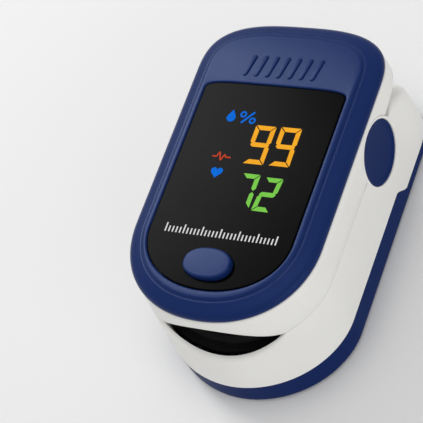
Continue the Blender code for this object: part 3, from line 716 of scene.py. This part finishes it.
def lower_edge(x, y, seam):
    """Height of the lower shell's upper edge."""
    ear = over_ear(y, EAR_RADIUS)
    if y > HINGE_Y:
        return max(ear or 0.0, heel_slope(y))
    share = mouth_share(x, y)
    return max(ear or 0.0, PARTING_Z - seam / 2 - MOUTH_DIP * share ** 0.85)


def stripe_edge(y, gap=0.0):
    """Height of the battery cover's edge, which steps down behind the hinge."""
    front_z, rear_z = STRIPE_Z
    return front_z + (rear_z - front_z) * smooth((y - STEP_START_Y) / STEP_LENGTH) + gap


# Pieces


def build_top_cover():
    """The blue cover: a lip, a rounded shoulder, a groove, the raised plateau and the window's seat."""
    columns = round_trip(stations(spaced(SIDE_START, HEEL_START, 10)))
    body_rows = [
        (1.30, 22.90), (1.20, 22.78), (0.42, 22.76), (0.20, 22.79), (0.06, 22.88), (0.0, 23.02),
        (0.01, 23.24), (0.07, 23.48), (0.20, 23.73), (0.38, 23.95), (0.60, 24.14), (0.88, 24.31),
        (1.20, 24.45), (1.50, 24.57), (1.80, 24.68), (2.04, 24.78), (2.22, 24.86), (2.38, 24.93),
        (2.52, 24.97), (2.64, 24.98), (2.74, 24.975), (2.83, 24.985), (2.91, 25.02), (2.98, 25.11),
        (3.05, 25.22), (3.15, 25.31), (3.28, 25.355), (3.44, 25.37),
    ]
    window_rows = [
        (-0.46, 25.40), (-0.30, 25.38), (-0.19, 25.33), (-0.12, 25.24), (-0.10, 25.12), (-0.10, 24.45),
        (1.0, 24.45), (1.0, 23.90),
    ]
    rings = [flat_ring(columns, inset * MM, z * MM, BEZEL) for inset, z in body_rows]
    rings += [flat_ring(columns, inset * MM, z * MM, WINDOW) for inset, z in window_rows]
    rings.append(flat_ring(columns, 1.30 * MM, 23.90 * MM, BEZEL))
    bm = bmesh.new()
    wrap(bm, rings, closed=True)
    keep(finish_mesh("cover", bm, "blue_shell", 40.0), "upper_jaw", "blue_plastic", "top_cover")


def build_press_mark(height):
    """A row of slanted raised bars where the thumb presses."""
    bm = bmesh.new()
    base_z, top_z = PRESS_Z[0], PRESS_Z[1] + height
    width, length = PRESS_BAR
    for i in range(PRESS_BARS):
        middle = (i - (PRESS_BARS - 1) / 2) * PRESS_SPACING
        grown = bmesh.ops.create_cube(bm, size=1.0)["verts"]
        bmesh.ops.scale(bm, vec=(width, length, top_z - base_z), verts=grown)
        for vert in grown:
            vert.co.x += PRESS_LEAN * vert.co.y / (length / 2)
        centre = (middle + PRESS_PLACE[0], PRESS_PLACE[1], (base_z + top_z) / 2)
        bmesh.ops.translate(bm, vec=centre, verts=grown)
    upright = [e for e in bm.edges if abs(e.verts[0].co.z - e.verts[1].co.z) > 0.1 * MM]
    round_edges(bm, upright, 0.4 * MM, 4)
    rim = [e for e in bm.edges if min(v.co.z for v in e.verts) > top_z - 0.01 * MM]
    round_edges(bm, rim, 0.12 * MM, 3)
    keep(finish_mesh("press_mark", bm, "blue_shell"), "upper_jaw", "blue_plastic")


def button_ring(grow, z):
    """The button's outline, grown or shrunk, at a height."""
    ring = []
    for i in range(BUTTON_STEPS):
        x, y = superellipse(
            BUTTON_SIZE[0] + grow, BUTTON_SIZE[1] + grow, BUTTON_POWER, 2 * math.pi * i / BUTTON_STEPS
        )
        ring.append((x, BUTTON_Y + y, z))
    return ring


def build_window():
    """The flush black window with a fine bevel and the button's hole."""
    columns = round_trip(stations(spaced(SIDE_START, HEEL_START, 10)))
    rows = [
        (0.30, 24.60), (0.05, 24.62), (0.0, 24.70), (0.0, 25.24), (0.03, 25.31), (0.10, 25.35), (0.16, 25.35),
    ]
    rings = [flat_ring(columns, inset * MM, z * MM, WINDOW) for inset, z in rows]
    bm = bmesh.new()
    first, last = wrap(bm, rings)
    bm.faces.new(first)
    bm.faces.new(last)
    window = finish_mesh("window", bm, "window_acrylic")
    bm = bmesh.new()
    first, last = wrap(bm, [button_ring(BUTTON_GAP, 24 * MM), button_ring(BUTTON_GAP, 27 * MM)])
    bm.faces.new(first)
    bm.faces.new(last)
    cut(window, bm)
    keep(window, "upper_jaw", "tinted_window", "display_window")


def build_button(top_z):
    """The oval button: a flange under the window, an upright side, a tight edge and a flat face."""
    rows = [
        (0.40 * MM, 23.75 * MM), (0.40 * MM, 24.15 * MM), (0.0, 24.15 * MM), (0.0, top_z - 0.34 * MM),
        (-0.02 * MM, top_z - 0.22 * MM), (-0.07 * MM, top_z - 0.13 * MM), (-0.15 * MM, top_z - 0.07 * MM),
        (-0.26 * MM, top_z - 0.035 * MM), (-0.42 * MM, top_z - 0.03 * MM), (-0.7 * MM, top_z - 0.02 * MM),
        (-1.8 * MM, top_z),
    ]
    bm = bmesh.new()
    first, last = wrap(bm, [button_ring(grow, z) for grow, z in rows])
    bm.faces.new(first)
    bm.faces.new(last)
    keep(finish_mesh("button", bm, "blue_button"), "button", "blue_plastic", "power_button")


def shell_columns():
    columns = round_trip(stations(ear_ys()))
    spots = []
    for way, side in columns:
        x, y = place(way, section_at(PARTING_Z), 0.0)
        spots.append((side * x, y))
    return columns, spots


def build_upper_shell(seam):
    """The white upper shell, open at the mouth and round the ears, and the plate that closes its heel."""
    columns, spots = shell_columns()
    edges = [upper_edge(x, y, seam) for x, y in spots]
    top = UPPER_SHELL_TOP_Z
    soft = 0.10 * MM
    rings = [body_ring(columns, [(soft, z) for z in edges])]
    rings.append(body_ring(columns, [(0.03 * MM, z + 0.03 * MM) for z in edges]))
    rings.append(body_ring(columns, [(0.0, z + soft) for z in edges]))
    for share in (0.25, 0.5, 0.75, 1.0):
        rings.append(body_ring(columns, [(0.0, z + soft + (top - z - soft) * share) for z in edges]))
    rings.append(flat_ring(columns, 0.15 * MM, top + 0.15 * MM))
    rings.append(flat_ring(columns, WALL, top + 0.15 * MM))
    rings.append(body_ring(columns, [(WALL, z + soft) for z in edges]))
    rings.append(body_ring(columns, [(WALL - soft, z) for z in edges]))
    bm = bmesh.new()
    wrap(bm, rings, closed=True)
    keep(finish_mesh("upper_shell", bm, "white_shell", 45.0), "upper_jaw", "white_plastic", "upper_housing")
    bm = bmesh.new()
    rows = [(1.0, 18.90), (0.9, 18.96), (0.9, 19.4)]
    first, last = wrap(bm, [flat_ring(columns, inset * MM, z * MM) for inset, z in rows])
    bm.faces.new(first)
    bm.faces.new(last)
    clear_front(bm, 17.5 * MM)
    heel = finish_mesh("upper_heel", bm, "white_shell")
    # Pockets for the legs of the torsion springs
    bm = bmesh.new()
    for side in (-1, 1):
        pocket = bmesh.ops.create_cube(bm, size=1.0)["verts"]
        bmesh.ops.scale(bm, vec=SPRING_POCKET, verts=pocket)
        x, y, z = SPRING_POCKET_PLACE
        bmesh.ops.translate(bm, vec=(side * x, y, z), verts=pocket)
    cut(heel, bm)
    keep(heel, "upper_jaw", "white_plastic")


def clear_front(bm, y):
    """Removes what lies in front of a place along Y and closes the cut."""
    geom = list(bm.verts) + list(bm.edges) + list(bm.faces)
    cut_geom = bmesh.ops.bisect_plane(
        bm, geom=geom, plane_co=(0, y, 0), plane_no=(0, -1, 0), clear_outer=True
    )["geom_cut"]
    bmesh.ops.contextual_create(bm, geom=[g for g in cut_geom if isinstance(g, bmesh.types.BMEdge)])


def build_lower_shell(seam):
    """The white lower shell: rolled mouth lip, hinge ears, sloped heel and the deck inside the heel."""
    columns, spots = shell_columns()
    tops = [lower_edge(x, y, seam) for x, y in spots]
    bottoms = [stripe_edge(y, STRIPE_GAP) for _, y in spots]
    mouths = [mouth_share(x, y) for x, y in spots]
    heels = [smooth((y - 18.6 * MM) / (2.5 * MM)) for _, y in spots]
    rolls = [(0.10 + 0.95 * m ** 0.4 + 1.5 * h) * MM for m, h in zip(mouths, heels)]
    soft = 0.08 * MM
    rings = [
        body_ring(columns, [(soft, z) for z in bottoms]),
        body_ring(columns, [(0.0, z + soft) for z in bottoms]),
    ]
    for share in (0.2, 0.4, 0.6, 0.8, 1.0):
        levels = []
        for low, high, roll in zip(bottoms, tops, rolls):
            levels.append((0.0, low + soft + (high - roll - low - soft) * share))
        rings.append(body_ring(columns, levels))
    turns = 8
    for i in range(1, turns + 1):
        angle = math.pi / 2 * i / turns
        levels = [(r * (1 - math.cos(angle)), z - r * (1 - math.sin(angle))) for r, z in zip(rolls, tops)]
        rings.append(body_ring(columns, levels))
    for out, down in ((0.35, 0.22), (0.7, 0.62), (1.0, 1.15)):
        levels = []
        for r, z, m, h in zip(rolls, tops, mouths, heels):
            reach = max(WALL - 0.08 * MM, 2.6 * MM * h)
            drop = down * (2.0 * MM * min(3 * m, 1.0) + 0.1 * MM * h)
            levels.append((r + (reach - r) * out, z - drop))
        rings.append(body_ring(columns, levels))
    rings.append(body_ring(columns, [(WALL, min(z - 0.3 * MM, 11.0 * MM)) for z in tops]))
    rings.append(body_ring(columns, [(WALL, z + soft) for z in bottoms]))
    rings.append(body_ring(columns, [(WALL - soft, z) for z in bottoms]))
    bm = bmesh.new()
    wrap(bm, rings, closed=True)
    shell = finish_mesh("lower_shell", bm, "white_shell", 45.0)
    bm = bmesh.new()
    for side in (-1, 1):
        outer = side * 18.3 * MM
        profile = [(0, 0), (CAP_OPENING_RADIUS, 0), (CAP_OPENING_RADIUS, CAP_DEPTH), (0, CAP_DEPTH)]
        turned(bm, profile, (side, 0, 0), (outer - side * 2.05 * MM, HINGE_Y, HINGE_Z), 96)
    heighten(bm)
    lean_with_wall(bm)
    cut(shell, bm)
    keep(shell, "lower_jaw", "white_plastic", "lower_housing")
    bm = bmesh.new()
    front_y = 17.6 * MM
    rear_y = HEEL_START + HEEL_LENGTH - HEEL_INSET
    for vert in bmesh.ops.create_grid(bm, x_segments=16, y_segments=24, size=0.5)["verts"]:
        y = front_y + (rear_y - front_y) * (1 - (0.5 - vert.co.y) ** 2)
        vert.co = (2 * vert.co.x * deck_half_width(y), y, heel_slope(y) - 0.35 * MM)
    close_below(bm, lambda co: co.z - 1.2 * MM)
    keep(finish_mesh("lower_deck", bm, "white_shell"), "lower_jaw", "white_plastic")


def deck_half_width(y):
    """Half the width of the deck inside the heel at a place along Y."""
    back = min(max((y - HEEL_START) / (HEEL_LENGTH - HEEL_INSET), 0.0), 1.0)
    return (HEEL_WIDTH - HEEL_INSET) * (1 - back ** 3) ** (1 / 3)


def close_below(bm, low_z):
    """Turns an open sheet into a closed body, its lower edge at the height low_z gives."""
    skirt = bmesh.ops.extrude_edge_only(bm, edges=[e for e in bm.edges if e.is_boundary])["geom"]
    for item in skirt:
        if isinstance(item, bmesh.types.BMVert):
            item.co.z = low_z(item.co)
    bmesh.ops.contextual_create(bm, geom=[e for e in bm.edges if e.is_boundary])


def heighten(bm):
    """Makes what is round about the hinge slightly taller than it is long."""
    for vert in bm.verts:
        vert.co.z = HINGE_Z + (vert.co.z - HINGE_Z) * CAP_HEIGHTEN


def lean_with_wall(bm):
    """Leans what was made square to X with the side walls, which widen towards the floor."""
    for vert in bm.verts:
        vert.co.x += math.copysign((HINGE_Z - vert.co.z) * WALL_LEAN, vert.co.x)


def build_hinge_caps(recess):
    """The round blue caps, each a shallow dish with a soft rim, sunk in its opening."""
    for name, side in (("hinge_cap_left", -1), ("hinge_cap_right", 1)):
        face = 18.10 * MM - recess
        radius = CAP_OPENING_RADIUS - CAP_PLAY
        profile = [
            (0, -0.95 * MM), (radius, -0.95 * MM), (radius, -0.10 * MM), (radius - 0.03 * MM, -0.03 * MM),
            (radius - 0.10 * MM, 0.0), (radius - 0.22 * MM, -0.02 * MM), (radius - 0.55 * MM, -0.14 * MM),
            (radius - 0.85 * MM, -0.22 * MM), (radius - 1.2 * MM, -0.25 * MM), (0, -0.25 * MM),
        ]
        bm = bmesh.new()
        turned(bm, profile, (side, 0, 0), (side * face, HINGE_Y, HINGE_Z), 96)
        heighten(bm)
        lean_with_wall(bm)
        keep(finish_mesh(name + "_face", bm, "blue_side"), "lower_jaw", "blue_plastic", name)


def build_battery_cover():
    """The blue battery cover: rounded underside, stepped rim and thumb grooves."""
    columns, spots = shell_columns()
    tops = [stripe_edge(y) for _, y in spots]
    rings = []
    turns = 6
    for i in range(turns + 1):
        angle = math.pi / 2 * i / turns
        inset, z = COVER_RADIUS * (1 - math.sin(angle)), COVER_RADIUS * (1 - math.cos(angle))
        rings.append(flat_ring(columns, inset, z))
    for share in (0.33, 0.66, 1.0):
        levels = [(0.0, COVER_RADIUS + (z - COVER_EDGE - COVER_RADIUS) * share) for z in tops]
        rings.append(body_ring(columns, levels))
    rings.append(body_ring(columns, [(COVER_EDGE, z) for z in tops]))
    rings.append(body_ring(columns, [(COVER_WALL - COVER_EDGE, z) for z in tops]))
    rings.append(body_ring(columns, [(COVER_WALL, z - COVER_EDGE) for z in tops]))
    rings.append(flat_ring(columns, COVER_WALL, 1.0 * MM))
    bm = bmesh.new()
    first, last = wrap(bm, rings)
    bm.faces.new(first)
    bm.faces.new(last)
    cover = finish_mesh("battery_door", bm, "blue_side")
    bm = bmesh.new()
    for i in range(GRIP_GROOVES):
        y = -21.0 * MM + i * GRIP_SPACING
        half = (7.5 - 0.5 * abs(i - (GRIP_GROOVES - 1) / 2)) * MM
        bmesh.ops.create_cone(
            bm, cap_ends=True, segments=24, radius1=0.75 * MM, radius2=0.75 * MM, depth=2 * half,
            matrix=Matrix.Translation((0, y, -0.42 * MM)) @ Matrix.Rotation(math.pi / 2, 4, "Y"),
        )
    cut(cover, bm)
    keep(cover, "cover", "blue_plastic", "battery_cover")


def nose_y(x, inset, z):
    """The nose's Y at a place across the width."""
    half_width, start, reach, power = section_at(z)[:4]
    share = min(abs(x) / (half_width - inset), 0.999)
    return start - (reach - inset) * (1 - share ** power) ** (1 / power)


def build_pad(name, node, middle_z, rise, back_z):
    """A silicone pad: a finger groove with soft edges, cross grooves and a rolled front."""
    up = 1 if back_z < middle_z else -1
    bm = bmesh.new()
    for vert in bmesh.ops.create_grid(bm, x_segments=40, y_segments=56, size=0.5)["verts"]:
        x = vert.co.x * 2 * PAD_HALF_WIDTH
        front = nose_y(x, PAD_FRONT_INSET, 13.5 * MM)
        y = front + (PAD_REAR_Y - front) * (vert.co.y + 0.5)
        rim = max(0.0, 1 - (PAD_HALF_WIDTH - abs(x)) / (0.9 * MM))
        lead = max(0.0, 1 - (y - front) / (1.3 * MM))
        tail = max(0.0, 1 - (PAD_REAR_Y - y) / (0.9 * MM))
        drop = 0.35 * MM * rim ** 2 + 0.4 * MM * tail ** 2
        drop += 1.1 * MM * (1 - math.sqrt(max(0.0, 1 - lead ** 2)))
        from_sensor = y - SENSOR_Y
        if abs(from_sensor) > 3.4 * MM:
            ridge = 0.5 + 0.5 * math.cos(2 * math.pi * from_sensor / RIDGE_SPACING)
            drop += 0.10 * MM * ridge ** 8 * (1 - smooth((abs(x) - 6 * MM) / (2 * MM)))
        well = math.hypot(x, from_sensor)
        drop += 0.30 * MM * (1 - smooth((well - 2.4 * MM) / (0.5 * MM)))
        z = middle_z + up * (rise * smooth(abs(x) / PAD_GROOVE) - drop)
        vert.co = (x, y, z)
    close_below(bm, lambda co: back_z if up * (co.z - back_z) > 0 else co.z - up * 0.4 * MM)
    pad = finish_mesh(name, bm, "black_silicone", 60.0)
    keep(pad, {"lower_finger_pad": "lower_jaw", "upper_finger_pad": "upper_jaw"}[node], "black_rubber", node)


DIGIT_SEGMENTS = {"9": "abcdfg", "7": "abc", "2": "abdeg"}


def segment_outline(letter, width, height, thick, gap):
    """One mitred stroke of a seven-segment digit, from the digit's lower left corner."""
    half = thick / 2
    if letter == "g":
        near, far, middle = gap, width - gap, height / 2
        return [
            (near, middle), (near + half, middle + half), (far - half, middle + half),
            (far, middle), (far - half, middle - half), (near + half, middle - half),
        ]
    if letter in "ad":
        outline = [(gap, height), (width - gap, height)]
        outline += [(width - thick - gap, height - thick), (thick + gap, height - thick)]
        return outline if letter == "a" else [(x, height - y) for x, y in outline]
    outline = [
        (width, height - gap), (width - thick, height - thick - gap),
        (width - thick, height / 2 + half + gap), (width - half, height / 2 + gap),
        (width, height / 2 + half + gap),
    ]
    if letter in "ef":
        outline = [(width - x, y) for x, y in outline]
    if letter in "ce":
        outline = [(x, height - y) for x, y in outline]
    return outline


def build_digits(name, look, digits, size, thick):
    """Lit seven-segment digits, each given as (digit, x, y, lean)."""
    bm = bmesh.new()
    for digit, left, low, lean in digits:
        for letter in DIGIT_SEGMENTS[digit]:
            outline = segment_outline(letter, *size, thick, STROKE_GAP)
            plate(bm, [(left + x + y * lean, low + y) for x, y in outline], MARK_Z)
    keep(finish_mesh(name, bm, look), "upper_jaw", "tinted_window")


def build_symbols():
    """Plain signs in place of words: a drop and a percent sign, a pulse trace, a heart and a scale."""
    bm = bmesh.new()
    drop = [(-6.35, 11.95)]
    for i in range(17):
        angle = math.radians(35 - 250 * i / 16)
        drop.append((-6.35 + 0.86 * math.cos(angle), 10.35 + 0.82 * math.sin(angle)))
    plate(bm, [(x * MM, y * MM) for x, y in drop], MARK_Z)
    bar(bm, (-4.1 * MM, 9.5 * MM), (-2.1 * MM, 11.8 * MM), 0.38 * MM, MARK_Z)
    for x, y in ((-4.15, 11.2), (-2.05, 10.1)):
        disc_ring(bm, (x * MM, y * MM), 0.64 * MM, 0.33 * MM, MARK_Z)
    keep(finish_mesh("oxygen_sign", bm, "blue_light"), "upper_jaw", "tinted_window")

    bm = bmesh.new()
    trace = [(-7.1, 2.6), (-6.3, 2.6), (-5.9, 3.5), (-5.3, 1.9), (-4.8, 3.1), (-4.5, 2.6), (-3.5, 2.6)]
    for start, end in zip(trace, trace[1:]):
        bar(bm, [value * MM for value in start], [value * MM for value in end], 0.26 * MM, MARK_Z)
    keep(finish_mesh("pulse_sign", bm, "red_light"), "upper_jaw", "tinted_window")

    bm = bmesh.new()
    heart = []
    for i in range(40):
        angle = 2 * math.pi * i / 40
        x = 16 * math.sin(angle) ** 3
        y = 13 * math.cos(angle) - 5 * math.cos(2 * angle) - 2 * math.cos(3 * angle) - math.cos(4 * angle)
        heart.append(((-5.15 + 0.072 * x) * MM, (-0.40 + 0.072 * y) * MM))
    plate(bm, heart, MARK_Z)
    keep(finish_mesh("heart_sign", bm, "blue_light"), "upper_jaw", "tinted_window")

    bm = bmesh.new()
    for i in range(31):
        x = (-10.6 + i * 0.71) * MM
        tall = (1.65 if i % 5 == 0 else 1.1) * MM
        bar(bm, (x, -12.55 * MM), (x, -12.55 * MM + tall), 0.24 * MM, MARK_Z)
    # Painted glow: the printed scale shines by emission instead of by the lamps' light.
    keep(finish_mesh("scale_print_painted_glow", bm, "white_print_painted_glow"), "upper_jaw", "tinted_window")


NODE_FINISHES = {
    "frame_plastic": ("upper_frame", "lower_frame", "display_module"),
    "chip_epoxy": ("mcu_chip", "cable_socket", "tact_switch", "photodiode"),
    "circuit_board": ("main_board", "detector_board"),
    "clear_epoxy": ("emitter_led", "emitter_window", "detector_window"),
    "polyimide": ("flex_cable",),
    "cell_sleeve": ("battery_1", "battery_2"),
    "nickel": (
        "bridge_contact", "bridge_spring", "negative_terminal", "negative_spring", "positive_terminal",
        "switch_plunger",
    ),
    "spring_steel": (
        "hinge_pin", "torsion_spring_left", "torsion_spring_right",
        "upper_screw_1", "upper_screw_2", "upper_screw_3", "upper_screw_4",
        "lower_screw_1", "lower_screw_2", "lower_screw_3", "lower_screw_4",
    ),
}


def finish_inner_parts():
    for look, nodes in NODE_FINISHES.items():
        for node in nodes:
            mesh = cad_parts[node].data
            mesh.materials.clear()
            mesh.materials.append(material(look))


# Stage


def add_light(name, place_mm, target_mm, size_mm, power):
    """A soft rectangular light that faces its target."""
    data = bpy.data.lights.new(name, "AREA")
    data.shape = "RECTANGLE"
    data.size, data.size_y = (value * MM for value in size_mm)
    data.energy = power
    light = bpy.data.objects.new(name, data)
    bpy.context.scene.collection.objects.link(light)
    light.location = Vector(place_mm) * MM
    light.rotation_euler = (Vector(target_mm) - Vector(place_mm)).to_track_quat("-Z", "Y").to_euler()


def build_stage(lights, colours):
    """The floor, the soft lights, the surround and the camera."""
    bm = bmesh.new()
    bmesh.ops.create_grid(bm, x_segments=4, y_segments=4, size=2.5)
    bmesh.ops.translate(bm, vec=(0, 0, -0.02 * MM), verts=bm.verts)
    MATERIALS["studio_floor"] = studio_floor(colours.floor)
    floor = finish_mesh("floor", bm, None)
    floor.data.materials.append(MATERIALS["studio_floor"])
    if floor.data.polygons[0].normal.z < 0:
        floor.data.flip_normals()
    add_light("top", (60, -20, 620), (0, 0, 10), (420, 420), lights.top)
    add_light("left", (-289, 188, 359), (0, 0, 15), (135, 135), lights.left)
    add_light("fill", (380, -200, 170), (0, 0, 15), (320, 300), lights.fill)
    world = bpy.data.worlds.new("surround")
    world.use_nodes = True
    world.node_tree.nodes["Background"].inputs["Color"].default_value = (1.0, 1.0, 1.0, 1.0)
    world.node_tree.nodes["Background"].inputs["Strength"].default_value = lights.surround
    bpy.context.scene.world = world
    bpy.context.scene.view_settings.view_transform = "Standard"
    data = bpy.data.cameras.new("camera")
    data.sensor_width = 36.0
    data.lens = CAMERA_LENS
    data.clip_start = 0.01
    data.clip_end = 20.0
    camera = bpy.data.objects.new("camera", data)
    bpy.context.scene.collection.objects.link(camera)
    camera.location = Vector(CAMERA_PLACE) * MM
    camera.rotation_euler = [math.radians(value) for value in CAMERA_TURN]
    bpy.context.scene.camera = camera


# Operators


class OXIMETER_OT_stage(bpy.types.Operator):
    """Set the floor, the lights and the camera."""

    bl_idname = "oximeter.stage"
    bl_label = "Stage"

    def execute(self, context):
        build_stage(context.scene.oximeter_lights, context.scene.oximeter_colours)
        return {"FINISHED"}


class OXIMETER_OT_top_cover(bpy.types.Operator):
    """Model the blue cover and its press mark."""

    bl_idname = "oximeter.top_cover"
    bl_label = "Top cover"

    def execute(self, context):
        build_top_cover()
        build_press_mark(context.scene.oximeter_sizes.grip_height)
        return {"FINISHED"}


class OXIMETER_OT_window(bpy.types.Operator):
    """Model the display window."""

    bl_idname = "oximeter.window"
    bl_label = "Window"

    def execute(self, context):
        build_window()
        return {"FINISHED"}


class OXIMETER_OT_display(bpy.types.Operator):
    """Model the lit digits and signs."""

    bl_idname = "oximeter.display"
    bl_label = "Display"

    def execute(self, context):
        build_digits("upper_digits", "amber_light", UPPER_DIGITS, UPPER_DIGIT_SIZE, UPPER_STROKE)
        build_digits("lower_digits", "green_light", LOWER_DIGITS, LOWER_DIGIT_SIZE, LOWER_STROKE)
        build_symbols()
        return {"FINISHED"}


class OXIMETER_OT_button(bpy.types.Operator):
    """Model the oval button."""

    bl_idname = "oximeter.button"
    bl_label = "Button"

    def execute(self, context):
        build_button(context.scene.oximeter_sizes.button_top)
        return {"FINISHED"}


class OXIMETER_OT_shells(bpy.types.Operator):
    """Model the two white shells."""

    bl_idname = "oximeter.shells"
    bl_label = "Shells"

    def execute(self, context):
        build_upper_shell(context.scene.oximeter_sizes.seam)
        build_lower_shell(context.scene.oximeter_sizes.seam)
        return {"FINISHED"}


class OXIMETER_OT_hinge_caps(bpy.types.Operator):
    """Model the two hinge caps."""

    bl_idname = "oximeter.hinge_caps"
    bl_label = "Hinge caps"

    def execute(self, context):
        build_hinge_caps(context.scene.oximeter_sizes.cap_recess)
        return {"FINISHED"}


class OXIMETER_OT_battery_cover(bpy.types.Operator):
    """Model the battery cover."""

    bl_idname = "oximeter.battery_cover"
    bl_label = "Battery cover"

    def execute(self, context):
        build_battery_cover()
        return {"FINISHED"}


class OXIMETER_OT_finger_pads(bpy.types.Operator):
    """Model the two silicone finger pads."""

    bl_idname = "oximeter.finger_pads"
    bl_label = "Finger pads"

    def execute(self, context):
        build_pad("lower_cushion", "lower_finger_pad", 13.7 * MM, 1.8 * MM, 13.0 * MM)
        build_pad("upper_cushion", "upper_finger_pad", 19.0 * MM, 1.2 * MM, 19.9 * MM)
        return {"FINISHED"}


class OXIMETER_OT_inner_parts(bpy.types.Operator):
    """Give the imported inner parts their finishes."""

    bl_idname = "oximeter.inner_parts"
    bl_label = "Inner parts"

    def execute(self, context):
        finish_inner_parts()
        return {"FINISHED"}


STEPS = (
    OXIMETER_OT_stage,
    OXIMETER_OT_top_cover,
    OXIMETER_OT_window,
    OXIMETER_OT_display,
    OXIMETER_OT_button,
    OXIMETER_OT_shells,
    OXIMETER_OT_hinge_caps,
    OXIMETER_OT_battery_cover,
    OXIMETER_OT_finger_pads,
    OXIMETER_OT_inner_parts,
)


class OXIMETER_PT_panel(bpy.types.Panel):
    """Lists the building steps and their settings."""

    bl_idname = "OXIMETER_PT_panel"
    bl_label = "Pulse Oximeter"
    bl_space_type = "VIEW_3D"
    bl_region_type = "UI"
    bl_category = "Oximeter"

    def draw(self, context):
        for group in (
            context.scene.oximeter_sizes, context.scene.oximeter_colours, context.scene.oximeter_lights
        ):
            for name in group.__annotations__:
                self.layout.prop(group, name)
        for step in STEPS:
            self.layout.operator(step.bl_idname)


GROUPS = {
    "oximeter_sizes": OximeterSizes,
    "oximeter_colours": OximeterColours,
    "oximeter_lights": OximeterLights,
}


def register():
    for cls in (*GROUPS.values(), *STEPS, OXIMETER_PT_panel):
        bpy.utils.register_class(cls)
    for name, group in GROUPS.items():
        setattr(bpy.types.Scene, name, PointerProperty(type=group))


def unregister():
    for name in GROUPS:
        delattr(bpy.types.Scene, name)
    for cls in (OXIMETER_PT_panel, *reversed(STEPS), *reversed(list(GROUPS.values()))):
        bpy.utils.unregister_class(cls)


def main():
    register()
    for step in STEPS:
        getattr(bpy.ops.oximeter, step.bl_idname.split(".")[1])()


if __name__ == "__main__":
    main()
